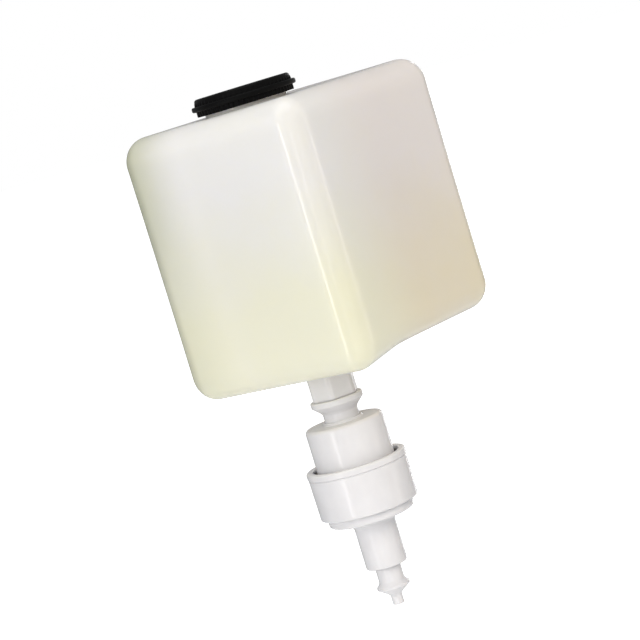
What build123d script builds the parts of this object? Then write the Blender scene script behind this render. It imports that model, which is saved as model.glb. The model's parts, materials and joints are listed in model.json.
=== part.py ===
"""Refillable soap tank with an inverted foam pump, as separate named pieces.

Millimetres, +Z up. The origin is on the pump axis, in the plane of the tank's flat underside.
+X runs across the tank's width and -Y points to its front. The filler neck, the outlet and
every piece of the pump share the Z axis.
"""
from build123d import *
from math import cos, pi, sqrt
import os

os.makedirs("parts", exist_ok=True)

# ---------------------------------------------------------------- driving dimensions
# tank
TANK_WIDTH = 97.0
TANK_DEPTH = 107.0
TANK_HEIGHT = 113.0
TANK_WALL = 1.4
TANK_CORNER_R = 11.0
AXIS_FROM_FRONT = 36.5  # pump axis behind the front face
RAMP_DROP = 3.3  # how far the front of the underside slopes down
RAMP_LENGTH = 35.0  # length of that slope, from the front face
RAMP_BLEND_R = 40.0
OUTLET_PAD_R = 12.5
OUTLET_PAD_DROP = 1.8  # flat pad round the outlet, below the underside

# filler neck and its two-start thread
NECK_R = 18.0
NECK_WALL = 1.6
NECK_HEIGHT = 6.2  # above the tank's top
NECK_ROOT_FILLET = 0.6
NECK_LIP_FILLET = 0.45
THREAD_LEAD = 6.0
THREAD_STARTS = 2
THREAD_DEPTH = 1.0
THREAD_CREST_W = 0.7
THREAD_ROOT_W = 1.2
THREAD_GRIP = 0.25  # how far a ridge sinks into the wall that carries it
THREAD_RISE = 1.9  # where the neck's thread begins, above the tank's top
NECK_THREAD_SWEEP = 200.0  # degrees of each start on the neck
CAP_THREAD_SWEEP = 150.0
CAP_THREAD_FROM = 90.0  # degrees on from where the neck's thread begins

# filler cap
CAP_WALL = 1.4
CAP_THREAD_GAP = 0.5  # between the neck's thread and the cap's wall
CAP_R = NECK_R + THREAD_DEPTH + CAP_THREAD_GAP + CAP_WALL
CAP_TOP_T = 1.5
CAP_SKIRT_GAP = 1.0  # between the skirt and the tank's top
CAP_FLANGE_R = CAP_R + 1.9
CAP_FLANGE_T = 2.2
CAP_FLANGE_FILLET = 0.7
CAP_ABOVE_FLANGE = 3.0
CAP_EDGE_R = 1.1
CAP_DISH_INSET = 4.0
CAP_DISH_DEPTH = 0.4
CAP_DISH_TAPER = 30.0
CAP_RIBS = 60
CAP_RIB_R = 0.35
LINER_T = 0.8
LINER_GAP = 0.2  # between the liner and the cap's thread
VENT_HOLE_R = 1.2
VENT_DISC_R = 4.0
VENT_DISC_T = 0.8
VENT_DISC_GAP = 0.4  # between the vent's disc and the liner
VENT_STEM_R = 0.8
VENT_LIP_T = 0.3

# outlet fitting
HEX_AF = 19.0
HEX_LENGTH = 16.2
HEX_TURN = 0.0  # degrees, which way the flats face
SPIGOT_R = 8.0
SPIGOT_THREAD_DEPTH = 0.6
SPIGOT_THREAD_PITCH = 2.0
SPIGOT_LENGTH = 12.0
SPIGOT_THREAD_FROM = 1.0  # above the tank's floor
SPIGOT_THREAD_SHORT = 4.5  # how much less than the spigot's length the thread covers
SPIGOT_CHAMFER = 0.6
HEX_CHAMFER = 0.4
OUTLET_BORE_R = 4.4
SOCKET_R = 6.3
WASHER_R = 12.0
WASHER_T = 1.2
NUT_AF = 22.0
NUT_T = 5.0
NUT_CHAMFER = 0.5
STRAINER_R = 7.0
STRAINER_HEIGHT = 12.0
STRAINER_WALL = 0.8
STRAINER_SLOTS = 8
STRAINER_SLOT_W = 1.6
STRAINER_PLUG = 4.0  # length pushed into the spigot
STRAINER_SLOT_MARGIN = 2.0  # below the slots
STRAINER_SLOT_SHORT = 4.5  # how much shorter the slots are than the cup
STRAINER_FILLET = 0.6

# pump neck with its hanging flange
FLANGE_R = 11.5
FLANGE_T = 2.4
CONE_HEIGHT = 3.9
PUMP_NECK_R = 7.65
PUMP_NECK_LENGTH = 4.5
PUMP_NECK_BORE_R = 4.6  # also the liquid cylinder's bore
PUMP_NECK_ROOT_R = 1.0
NECK_TAIL_R = 6.2
FLANGE_FILLET = 0.8
SPIGOT_TIP_CHAMFER = 0.5
ORING_WIRE_R = 0.5
ORING_DEPTH = 4.0  # below the pump's spigot end
ORING_SQUEEZE = 0.02
SOCKET_HEADROOM = 0.2

# fixed air cylinder and inlet valve
AIR_CYL_R = 17.15
AIR_CYL_WALL = 1.3
AIR_CYL_TOP_T = 1.8
AIR_CYL_EDGE_R = 1.6
STOP_RING_T = 1.3
STOP_RING_W = 1.5
STOP_RING_CHAMFER = 0.4
ROOT_RING_CHAMFER = 0.5
SEAT_T = 1.6
SEAT_HOLE_R = 1.0
SEAT_CONE_H = 0.6
INLET_BALL_R = 1.6
INLET_LIFT = 1.2
CAGE_FLOOR_T = 0.8
CAGE_GAP = 0.5  # radial, round the ball
CAGE_HOLES = 4
CAGE_HOLE_R = 0.9

# moving plunger
STROKE = 12.0
STROKE_MARGIN = 0.3
STROKE_HEADROOM = 0.8  # sleeve top to air cylinder rim at full stroke
PISTON_REST_GAP = 0.1  # air piston above its stop ring at rest
SKIRT_TOP = -44.8  # rim of the skirt at rest
SKIRT_RIM_WIDTH = 3.0  # radial width of the rolled-in rim
SKIRT_RIM_GAP = 1.85  # radial, between the rim and the air cylinder
SKIRT_R = AIR_CYL_R + SKIRT_RIM_GAP + SKIRT_RIM_WIDTH
SKIRT_LIP_H = 2.9
SKIRT_GROOVE = 0.35
SKIRT_FOOT_R = SKIRT_R - 0.5
SKIRT_BODY_INSET = 0.25  # wall below the lip, inside the lip's radius
SKIRT_RIM_R = 0.9
SKIRT_FOOT_CHAMFER = 0.8
SKIRT_HEIGHT = 21.5
SKIRT_WALL = 1.5
SKIRT_FLOOR_T = 1.8
SKIRT_RIM_T = 2.2
RING_R = SKIRT_R - 3.15
RING_T = 4.1
RING_EDGE_R = 1.3
SLEEVE_R = 9.1
SLEEVE_WALL = 1.5
SLEEVE_BELOW_RING = 22.0
SLEEVE_FLANGE_R = SLEEVE_R + 3.9
SLEEVE_FLANGE_T = 1.6
SLEEVE_ROOT_R = SLEEVE_R + 2.2
SLEEVE_ROOT_H = 3.4
SLEEVE_ROOT_SWEEP_R = 6.0
SLEEVE_FOOT_FILLET = 0.8
SLEEVE_END_T = 1.4
NOZZLE_R = 5.6
NOZZLE_STEM = 6.3  # length below the sleeve before it flares
NOZZLE_FLARE_R = 7.25
NOZZLE_FLARE_H = 2.6
NOZZLE_FLARE_T = 0.9
NOZZLE_FLARE_SWEEP_R = 3.4
NOZZLE_CONE_H = 3.6
NOZZLE_FLANGE_T = 1.5
NOZZLE_BORE_R = 3.9
TIP_R = 2.5
TIP_LENGTH = 4.4
TIP_BORE_R = 1.5
TIP_ROUND_R = 0.5
AIR_PISTON_T = 1.6
AIR_PISTON_LIP_H = 4.0
AIR_PISTON_LIP_W = 1.0
LIP_RELIEF = 0.3  # radial, where a wiper's lip thins
ROD_R = 3.4
ROD_TOP_R = 2.6  # where the liquid piston's seal sits
ROD_FOOT_R = 5.0
ROD_BORE_R = 1.3
ROD_TAIL = 5.0  # length inside the sleeve
ROD_PLATE_T = 1.2
LIQUID_PISTON_H = 4.0
LIQUID_LIP_T = 0.7
LIQUID_WAIST = 0.5  # radial, between the seal's two lips
OUTLET_BALL_R = 1.7
OUTLET_SEAT_R = 1.2
OUTLET_SEAT_DROP = 1.5  # below the air piston
OUTLET_CHAMBER_GAP = 0.55  # radial, round the ball
MIXER_WALL = 1.2
MIXER_ROOF_T = 1.0
MIXER_HOLES = 6
MIXER_HOLE_R = 0.8
CARTRIDGE_WALL = 1.2
CARTRIDGE_HEIGHT = 9.0
SCREEN_LEDGE = 0.8  # radial, that holds a screen
SCREEN_T = 0.4
SCREEN_HOLE = 0.9
SCREEN_PITCH = 1.5
DRIP_VALVE_T = 1.2
DRIP_VALVE_DOME_H = 1.6
DRIP_DOME_INSET = 0.8
DRIP_SLIT_INSET = 1.8
DRIP_SLIT_W = 0.2
DRIP_TAPER = 30.0

# springs
RETURN_WIRE_R = 0.5
RETURN_MEAN_R = 10.4
RETURN_TURNS = 5
OUTLET_WIRE_R = 0.2
OUTLET_MEAN_R = 1.35
OUTLET_SPRING_H = 5.0
OUTLET_TURNS = 6

# fits and clearances
FIT = 0.05  # radial, a piece pushed into another
RUN = 0.06  # radial, a piston in its cylinder or a ball in its cage
SEAM = 0.02  # between a spring's end and what it bears on

# ---------------------------------------------------------------- levels and radii that follow
NECK_TOP_Z = TANK_HEIGHT + NECK_HEIGHT
CAP_UNDER_Z = NECK_TOP_Z + LINER_T
CAP_TOP_Z = CAP_UNDER_Z + CAP_TOP_T
CAP_INNER_R = CAP_R - CAP_WALL
CAP_FOOT_Z = TANK_HEIGHT + CAP_SKIRT_GAP
THREAD_PITCH = THREAD_LEAD / THREAD_STARTS
THREAD_Z0 = TANK_HEIGHT + THREAD_RISE

HEX_BOTTOM_Z = -HEX_LENGTH
FLANGE_BOTTOM_Z = HEX_BOTTOM_Z - FLANGE_T
CONE_BOTTOM_Z = FLANGE_BOTTOM_Z - CONE_HEIGHT
AIR_TOP_Z = CONE_BOTTOM_Z - PUMP_NECK_LENGTH
AIR_ROOF_Z = AIR_TOP_Z - AIR_CYL_TOP_T
AIR_BORE_R = AIR_CYL_R - AIR_CYL_WALL

SKIRT_BOTTOM_Z = SKIRT_TOP - SKIRT_HEIGHT
SKIRT_FLOOR_Z = SKIRT_BOTTOM_Z + SKIRT_FLOOR_T
SLEEVE_TOP_Z = SKIRT_FLOOR_Z + SLEEVE_FLANGE_T
RING_BOTTOM_Z = SKIRT_BOTTOM_Z - RING_T
SLEEVE_BOTTOM_Z = RING_BOTTOM_Z - SLEEVE_BELOW_RING
SLEEVE_BORE_R = SLEEVE_R - SLEEVE_WALL
SLEEVE_END_Z = SLEEVE_BOTTOM_Z + SLEEVE_END_T

AIR_BOTTOM_Z = SLEEVE_TOP_Z + STROKE + STROKE_HEADROOM
STOP_RING_TOP_Z = AIR_BOTTOM_Z + STOP_RING_T
PISTON_UNDER_Z = STOP_RING_TOP_Z + PISTON_REST_GAP
PISTON_TOP_Z = PISTON_UNDER_Z + AIR_PISTON_T

# liquid piston, inlet cage and inlet seat stack up inside the pump neck's bore
LIQUID_PISTON_UNDER_Z = AIR_ROOF_Z + STROKE_MARGIN
LIQUID_PISTON_TOP_Z = LIQUID_PISTON_UNDER_Z + LIQUID_PISTON_H
CAGE_BOTTOM_Z = LIQUID_PISTON_TOP_Z + STROKE + STROKE_MARGIN
CAGE_FLOOR_Z = CAGE_BOTTOM_Z + CAGE_FLOOR_T
INLET_BALL_Z = CAGE_FLOOR_Z + INLET_BALL_R + SEAM
SEAT_REACH = sqrt((INLET_BALL_R + SEAM) ** 2 - SEAT_HOLE_R**2)
SEAT_BOTTOM_Z = INLET_BALL_Z + INLET_LIFT + SEAT_REACH - SEAT_CONE_H
PUMP_SPIGOT_TOP_Z = SEAT_BOTTOM_Z + SEAT_T

HEX_TOP_Z = -OUTLET_PAD_DROP
WASHER_TOP_Z = TANK_WALL + WASHER_T
SPIGOT_TOP_Z = SPIGOT_LENGTH
STRAINER_FOOT_Z = SPIGOT_TOP_Z - STRAINER_PLUG
SPIGOT_THREAD_CREST_R = SPIGOT_R + SPIGOT_THREAD_DEPTH
PUMP_SPIGOT_R = SOCKET_R - FIT
SOCKET_TOP_Z = PUMP_SPIGOT_TOP_Z + SOCKET_HEADROOM
ORING_Z = PUMP_SPIGOT_TOP_Z - ORING_DEPTH
RETURN_TOP_Z = AIR_ROOF_Z - SEAM
RETURN_BOTTOM_Z = PISTON_TOP_Z + SEAM
ROD_BOTTOM_Z = SLEEVE_TOP_Z - ROD_TAIL
OUTLET_SEAT_Z = PISTON_UNDER_Z - OUTLET_SEAT_DROP
OUTLET_CHAMBER_R = OUTLET_BALL_R + OUTLET_CHAMBER_GAP
OUTLET_BALL_Z = OUTLET_SEAT_Z - sqrt((OUTLET_BALL_R + SEAM) ** 2 - OUTLET_SEAT_R**2)
OUTLET_COIL_REACH = sqrt((OUTLET_BALL_R + OUTLET_WIRE_R + SEAM) ** 2 - OUTLET_MEAN_R**2)
OUTLET_SPRING_TOP_Z = OUTLET_BALL_Z - OUTLET_COIL_REACH + OUTLET_WIRE_R
OUTLET_SPRING_FOOT_Z = OUTLET_SPRING_TOP_Z - OUTLET_SPRING_H - SEAM
NOZZLE_TOP_Z = SLEEVE_END_Z + NOZZLE_FLANGE_T
NOZZLE_FLARE_Z = SLEEVE_BOTTOM_Z - NOZZLE_STEM
NOZZLE_RIM_Z = NOZZLE_FLARE_Z - NOZZLE_FLARE_H
NOZZLE_CONE_Z = NOZZLE_RIM_Z - NOZZLE_FLARE_T
TIP_TOP_Z = NOZZLE_CONE_Z - NOZZLE_CONE_H
TIP_BOTTOM_Z = TIP_TOP_Z - TIP_LENGTH
CARTRIDGE_BOTTOM_Z = NOZZLE_TOP_Z
CARTRIDGE_TOP_Z = CARTRIDGE_BOTTOM_Z + CARTRIDGE_HEIGHT
MIXER_BOTTOM_Z = CARTRIDGE_TOP_Z
MIXER_TOP_Z = ROD_BOTTOM_Z


def half_section(*points):
    """Closed outline of (radius, height) points in the XZ plane, ready to revolve."""
    with BuildSketch(Plane.XZ) as outline:
        with BuildLine():
            Polyline(*points, close=True)
        make_face()
    return outline.sketch


def hex_radius(across_flats):
    """Corner radius of a hexagon from the distance across its flats."""
    return across_flats / 2 / cos(pi / 6)


def tank_block(inset):
    """The tank's rounded block, with every face moved inwards by the inset."""
    half_width = TANK_WIDTH / 2 - inset
    front = -AXIS_FROM_FRONT + inset
    back = TANK_DEPTH - AXIS_FROM_FRONT - inset
    floor = inset
    roof = TANK_HEIGHT - inset
    ramp_start = -AXIS_FROM_FRONT + RAMP_LENGTH
    corner_r = TANK_CORNER_R - inset
    slope = RAMP_DROP / (RAMP_LENGTH - TANK_CORNER_R)
    front_floor = floor - slope * (ramp_start - front)
    with BuildPart() as block:
        with BuildSketch(Plane.YZ.offset(-half_width)):
            with BuildLine():
                FilletPolyline((back, floor), (ramp_start, floor), (front, front_floor), radius=RAMP_BLEND_R)
                Polyline((front, front_floor), (front, roof), (back, roof), (back, floor))
            make_face()
        extrude(amount=2 * half_width)
        fillet(block.edges().filter_by(Axis.Z), radius=corner_r)
        uprights = block.edges().filter_by(Axis.Z)
        creases = block.edges().filter_by(Axis.X).filter_by_position(Axis.Y, front + 1, back - 1)
        fillet(block.edges() - uprights - creases, radius=corner_r - 0.05)
    return block.part


def thread_ridge(root_r, depth, lead, start_z, sweep_deg):
    """One helical ridge from its root radius; a negative depth points it at the axis."""
    grip = -THREAD_GRIP if depth > 0 else THREAD_GRIP
    with BuildPart() as ridge:
        with BuildLine() as path:
            Helix(pitch=lead, height=lead * sweep_deg / 360, radius=root_r, center=(0, 0, start_z))
        with BuildSketch(Plane.XZ):
            with BuildLine():
                Polyline(
                    (root_r + grip, start_z - THREAD_ROOT_W / 2),
                    (root_r + depth, start_z - THREAD_CREST_W / 2),
                    (root_r + depth, start_z + THREAD_CREST_W / 2),
                    (root_r + grip, start_z + THREAD_ROOT_W / 2),
                    close=True,
                )
            make_face()
        sweep(path=path.line, is_frenet=True)
    return ridge.part


def coil(mean_r, wire_r, low_z, high_z, turns):
    """Open-wound spring wire whose outside just fits between two heights."""
    rise = high_z - low_z - 2 * wire_r
    with BuildPart() as wire:
        with BuildLine() as path:
            Helix(pitch=rise / turns, height=rise, radius=mean_r, center=(0, 0, low_z + wire_r))
        with BuildSketch(Plane.XZ):
            with Locations((mean_r, low_z + wire_r)):
                Circle(wire_r)
        sweep(path=path.line, is_frenet=True)
    return wire.part


# ---------------------------------------------------------------- tank
cavity = tank_block(TANK_WALL)
neck_thread = thread_ridge(NECK_R, THREAD_DEPTH, THREAD_LEAD, THREAD_Z0, NECK_THREAD_SWEEP)

with BuildPart() as tank_shell:
    add(tank_block(0))
    # flat pad round the outlet, faired into the sloping underside
    with BuildSketch(Plane.XY.offset(-OUTLET_PAD_DROP)):
        Circle(OUTLET_PAD_R)
    extrude(amount=OUTLET_PAD_DROP + TANK_WALL)
    add(cavity, mode=Mode.SUBTRACT)
    # the pad also stands on the inside, so that the washer seats flat
    with BuildSketch(Plane.XY.offset(-OUTLET_PAD_DROP)):
        Circle(OUTLET_PAD_R)
    extrude(amount=OUTLET_PAD_DROP + TANK_WALL)
    # filler neck with a rounded root
    with BuildSketch(Plane.XY.offset(TANK_HEIGHT - TANK_WALL)):
        Circle(NECK_R)
    extrude(amount=TANK_WALL + NECK_HEIGHT)
    neck_root = tank_shell.edges().filter_by(GeomType.CIRCLE).filter_by_position(
        Axis.Z, TANK_HEIGHT - 0.01, TANK_HEIGHT + 0.01
    )
    fillet(neck_root, radius=NECK_ROOT_FILLET)
    with BuildSketch(Plane.XY.offset(NECK_TOP_Z)):
        Circle(NECK_R - NECK_WALL)
    extrude(amount=-(NECK_HEIGHT + 2 * TANK_WALL), mode=Mode.SUBTRACT)
    neck_lip = tank_shell.faces().sort_by(Axis.Z)[-1].edges()
    fillet(neck_lip, radius=NECK_LIP_FILLET)
    with PolarLocations(0, THREAD_STARTS):
        add(neck_thread)
    # outlet hole
    with BuildSketch(Plane.XY.offset(-OUTLET_PAD_DROP)):
        Circle(SPIGOT_THREAD_CREST_R + 2 * FIT)
    extrude(amount=OUTLET_PAD_DROP + 2 * TANK_WALL, mode=Mode.SUBTRACT)
tank_shell.part.label = "tank_shell"
export_step(tank_shell.part, "parts/tank_shell.step")

# ---------------------------------------------------------------- filler cap, liner and vent
cap_thread = thread_ridge(
    CAP_INNER_R, -THREAD_DEPTH,
    THREAD_LEAD, THREAD_Z0 - THREAD_PITCH / 2 + THREAD_LEAD * CAP_THREAD_FROM / 360, CAP_THREAD_SWEEP,
)

with BuildPart() as filler_cap:
    with BuildSketch(Plane.XY.offset(CAP_FOOT_Z)):
        Circle(CAP_R)
        with PolarLocations(CAP_R, CAP_RIBS):
            Circle(CAP_RIB_R)
    extrude(amount=CAP_TOP_Z - CAP_FOOT_Z)
    with BuildSketch(Plane.XY.offset(CAP_TOP_Z - CAP_ABOVE_FLANGE)):
        Circle(CAP_FLANGE_R)
    extrude(amount=-CAP_FLANGE_T)
    flange_rims = filler_cap.edges().filter_by(GeomType.CIRCLE).filter_by(
        lambda edge: abs(edge.radius - CAP_FLANGE_R) < 0.01
    )
    fillet(flange_rims, radius=CAP_FLANGE_FILLET)
    # the ribs stop below a plain rounded crown
    with BuildSketch(Plane.XY.offset(CAP_TOP_Z - CAP_EDGE_R)):
        Circle(CAP_R + 2 * CAP_RIB_R)
        Circle(CAP_R, mode=Mode.SUBTRACT)
    extrude(amount=CAP_EDGE_R, mode=Mode.SUBTRACT)
    crown = filler_cap.faces().sort_by(Axis.Z)[-1].edges()
    fillet(crown, radius=CAP_EDGE_R - 0.1)
    # the well for the neck, and a shallow dish in the crown
    with BuildSketch(Plane.XY.offset(CAP_FOOT_Z)):
        Circle(CAP_INNER_R)
    extrude(amount=CAP_UNDER_Z - CAP_FOOT_Z, mode=Mode.SUBTRACT)
    with BuildSketch(Plane.XY.offset(CAP_TOP_Z)):
        Circle(CAP_R - CAP_DISH_INSET)
    extrude(amount=-CAP_DISH_DEPTH, taper=CAP_DISH_TAPER, mode=Mode.SUBTRACT)
    with BuildSketch(Plane.XY.offset(CAP_TOP_Z)):
        Circle(VENT_HOLE_R)
    extrude(amount=-2 * CAP_TOP_T, mode=Mode.SUBTRACT)
    with PolarLocations(0, THREAD_STARTS, start_angle=CAP_THREAD_FROM):
        add(cap_thread)
filler_cap.part.label = "filler_cap"
export_step(filler_cap.part, "parts/filler_cap.step")

with BuildPart() as cap_liner:
    with BuildSketch(Plane.XY.offset(NECK_TOP_Z)):
        Circle(CAP_INNER_R - THREAD_DEPTH - LINER_GAP)
        Circle(VENT_DISC_R + VENT_DISC_GAP, mode=Mode.SUBTRACT)
    extrude(amount=LINER_T)
cap_liner.part.label = "cap_liner"
export_step(cap_liner.part, "parts/cap_liner.step")

# umbrella valve: a disc under the crown and a stem with a bead through the vent hole
with BuildPart() as vent_valve:
    revolve(half_section(
        (0, CAP_UNDER_Z - VENT_DISC_T),
        (VENT_DISC_R, CAP_UNDER_Z - VENT_LIP_T - FIT),
        (VENT_DISC_R, CAP_UNDER_Z - FIT),
        (VENT_STEM_R, CAP_UNDER_Z - 3 * FIT),
        (VENT_STEM_R, CAP_TOP_Z - VENT_LIP_T - FIT),
        (VENT_HOLE_R + VENT_LIP_T, CAP_TOP_Z - VENT_LIP_T),
        (VENT_STEM_R, CAP_TOP_Z - SEAM),
        (0, CAP_TOP_Z - SEAM),
    ), axis=Axis.Z)
vent_valve.part.label = "vent_valve"
export_step(vent_valve.part, "parts/vent_valve.step")

# ---------------------------------------------------------------- outlet fitting
spigot_turns = (SPIGOT_TOP_Z - SPIGOT_THREAD_SHORT - TANK_WALL) / SPIGOT_THREAD_PITCH
spigot_thread = thread_ridge(
    SPIGOT_R, SPIGOT_THREAD_DEPTH,
    SPIGOT_THREAD_PITCH, TANK_WALL + SPIGOT_THREAD_FROM, 360 * spigot_turns,
)

with BuildPart() as outlet_fitting:
    with BuildSketch(Plane.XY.offset(HEX_BOTTOM_Z)):
        RegularPolygon(radius=hex_radius(HEX_AF), side_count=6, rotation=HEX_TURN)
    extrude(amount=HEX_TOP_Z - HEX_BOTTOM_Z)
    chamfer(outlet_fitting.edges().group_by(Axis.Z)[0], length=HEX_CHAMFER)
    with BuildSketch(Plane.XY.offset(HEX_TOP_Z)):
        Circle(SPIGOT_R)
    extrude(amount=SPIGOT_TOP_Z - HEX_TOP_Z)
    chamfer(outlet_fitting.edges().group_by(Axis.Z)[-1], length=SPIGOT_CHAMFER)
    with BuildSketch(Plane.XY.offset(SPIGOT_TOP_Z)):
        Circle(OUTLET_BORE_R)
    extrude(amount=HEX_BOTTOM_Z - SPIGOT_TOP_Z, mode=Mode.SUBTRACT)
    with BuildSketch(Plane.XY.offset(HEX_BOTTOM_Z)):
        Circle(SOCKET_R)
    extrude(amount=SOCKET_TOP_Z - HEX_BOTTOM_Z, mode=Mode.SUBTRACT)
    # recess that the strainer's foot plugs into
    with BuildSketch(Plane.XY.offset(SPIGOT_TOP_Z)):
        Circle(STRAINER_R - STRAINER_WALL + FIT)
    extrude(amount=STRAINER_FOOT_Z - SPIGOT_TOP_Z, mode=Mode.SUBTRACT)
    add(spigot_thread)
outlet_fitting.part.label = "outlet_fitting"
export_step(outlet_fitting.part, "parts/outlet_fitting.step")

with BuildPart() as outlet_washer:
    with BuildSketch(Plane.XY.offset(TANK_WALL)):
        Circle(WASHER_R)
        Circle(SPIGOT_THREAD_CREST_R + 2 * FIT, mode=Mode.SUBTRACT)
    extrude(amount=WASHER_T)
outlet_washer.part.label = "outlet_washer"
export_step(outlet_washer.part, "parts/outlet_washer.step")

with BuildPart() as outlet_nut:
    with BuildSketch(Plane.XY.offset(WASHER_TOP_Z)):
        RegularPolygon(radius=hex_radius(NUT_AF), side_count=6)
    extrude(amount=NUT_T)
    chamfer(outlet_nut.edges().group_by(Axis.Z)[-1], length=NUT_CHAMFER)
    with BuildSketch(Plane.XY.offset(WASHER_TOP_Z)):
        Circle(SPIGOT_THREAD_CREST_R + 2 * FIT)
    extrude(amount=NUT_T, mode=Mode.SUBTRACT)
outlet_nut.part.label = "outlet_nut"
export_step(outlet_nut.part, "parts/outlet_nut.step")

# slotted strainer cup that plugs into the spigot
with BuildPart() as strainer:
    with BuildSketch(Plane.XY.offset(STRAINER_FOOT_Z)):
        Circle(STRAINER_R - STRAINER_WALL)
    extrude(amount=SPIGOT_TOP_Z - STRAINER_FOOT_Z)
    with BuildSketch(Plane.XY.offset(SPIGOT_TOP_Z)):
        Circle(STRAINER_R)
    extrude(amount=STRAINER_HEIGHT)
    fillet(strainer.edges().group_by(Axis.Z)[-1], radius=STRAINER_FILLET)
    with BuildSketch(Plane.XY.offset(STRAINER_FOOT_Z)):
        Circle(STRAINER_R - 2 * STRAINER_WALL)
    extrude(amount=SPIGOT_TOP_Z - STRAINER_FOOT_Z + STRAINER_HEIGHT - STRAINER_WALL, mode=Mode.SUBTRACT)
    with BuildSketch(Plane.XY.offset(SPIGOT_TOP_Z + STRAINER_SLOT_MARGIN)):
        with PolarLocations(STRAINER_R - STRAINER_WALL / 2, STRAINER_SLOTS):
            Rectangle(4 * STRAINER_WALL, STRAINER_SLOT_W)
    extrude(amount=STRAINER_HEIGHT - STRAINER_SLOT_SHORT, mode=Mode.SUBTRACT)
strainer.part.label = "strainer"
export_step(strainer.part, "parts/strainer.step")

# ---------------------------------------------------------------- pump neck
# spigot, hanging flange, cone and neck in one; its bore is the liquid cylinder
with BuildPart() as pump_neck:
    revolve(half_section(
        (PUMP_NECK_BORE_R, PUMP_SPIGOT_TOP_Z),
        (PUMP_SPIGOT_R - SPIGOT_TIP_CHAMFER, PUMP_SPIGOT_TOP_Z),
        (PUMP_SPIGOT_R, PUMP_SPIGOT_TOP_Z - SPIGOT_TIP_CHAMFER),
        (PUMP_SPIGOT_R, ORING_Z + ORING_WIRE_R),
        (PUMP_SPIGOT_R - 2 * ORING_WIRE_R, ORING_Z + ORING_WIRE_R),
        (PUMP_SPIGOT_R - 2 * ORING_WIRE_R, ORING_Z - ORING_WIRE_R),
        (PUMP_SPIGOT_R, ORING_Z - ORING_WIRE_R),
        (PUMP_SPIGOT_R, HEX_BOTTOM_Z),
        (FLANGE_R, HEX_BOTTOM_Z),
        (FLANGE_R, FLANGE_BOTTOM_Z),
        (PUMP_NECK_R, CONE_BOTTOM_Z),
        (PUMP_NECK_R, AIR_TOP_Z),
        (NECK_TAIL_R, AIR_TOP_Z),
        (NECK_TAIL_R, AIR_ROOF_Z),
        (PUMP_NECK_BORE_R, AIR_ROOF_Z),
    ), axis=Axis.Z)
    flange_rims = pump_neck.edges().filter_by(GeomType.CIRCLE).filter_by(
        lambda edge: abs(edge.radius - FLANGE_R) < 0.01
    )
    fillet(flange_rims, radius=FLANGE_FILLET)
pump_neck.part.label = "pump_neck"
export_step(pump_neck.part, "parts/pump_neck.step")

with BuildPart() as neck_oring:
    with BuildSketch(Plane.XZ):
        with Locations((PUMP_SPIGOT_R - ORING_WIRE_R, ORING_Z)):
            Circle(ORING_WIRE_R - ORING_SQUEEZE)
    revolve(axis=Axis.Z)
neck_oring.part.label = "neck_oring"
export_step(neck_oring.part, "parts/neck_oring.step")

# ---------------------------------------------------------------- fixed cylinders and inlet valve
with BuildPart() as air_cylinder:
    with BuildSketch(Plane.XY.offset(AIR_BOTTOM_Z)):
        Circle(AIR_CYL_R)
    extrude(amount=AIR_TOP_Z - AIR_BOTTOM_Z)
    fillet(air_cylinder.edges().group_by(Axis.Z)[-1], radius=AIR_CYL_EDGE_R)
    with BuildSketch(Plane.XY.offset(AIR_TOP_Z)):
        Circle(PUMP_NECK_R + PUMP_NECK_ROOT_R)
        Circle(PUMP_NECK_R + FIT, mode=Mode.SUBTRACT)
    extrude(amount=PUMP_NECK_ROOT_R)
    chamfer(air_cylinder.edges().group_by(Axis.Z)[-1].sort_by(SortBy.RADIUS)[-1], length=ROOT_RING_CHAMFER)
    with BuildSketch(Plane.XY.offset(AIR_BOTTOM_Z)):
        Circle(AIR_BORE_R)
    extrude(amount=AIR_ROOF_Z - AIR_BOTTOM_Z, mode=Mode.SUBTRACT)
    with BuildSketch(Plane.XY.offset(AIR_ROOF_Z)):
        Circle(NECK_TAIL_R + FIT)
    extrude(amount=AIR_CYL_TOP_T, mode=Mode.SUBTRACT)
air_cylinder.part.label = "air_cylinder"
export_step(air_cylinder.part, "parts/air_cylinder.step")

with BuildPart() as stop_ring:
    with BuildSketch(Plane.XY.offset(AIR_BOTTOM_Z)):
        Circle(AIR_BORE_R - FIT)
        Circle(AIR_BORE_R - FIT - STOP_RING_W, mode=Mode.SUBTRACT)
    extrude(amount=STOP_RING_T)
    chamfer(stop_ring.edges().group_by(Axis.Z)[0].sort_by(SortBy.RADIUS)[0], length=STOP_RING_CHAMFER)
stop_ring.part.label = "stop_ring"
export_step(stop_ring.part, "parts/stop_ring.step")

with BuildPart() as inlet_seat:
    revolve(half_section(
        (SEAT_HOLE_R, PUMP_SPIGOT_TOP_Z),
        (PUMP_NECK_BORE_R - FIT, PUMP_SPIGOT_TOP_Z),
        (PUMP_NECK_BORE_R - FIT, SEAT_BOTTOM_Z),
        (INLET_BALL_R, SEAT_BOTTOM_Z),
        (SEAT_HOLE_R, SEAT_BOTTOM_Z + SEAT_CONE_H),
    ), axis=Axis.Z)
inlet_seat.part.label = "inlet_seat"
export_step(inlet_seat.part, "parts/inlet_seat.step")

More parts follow.
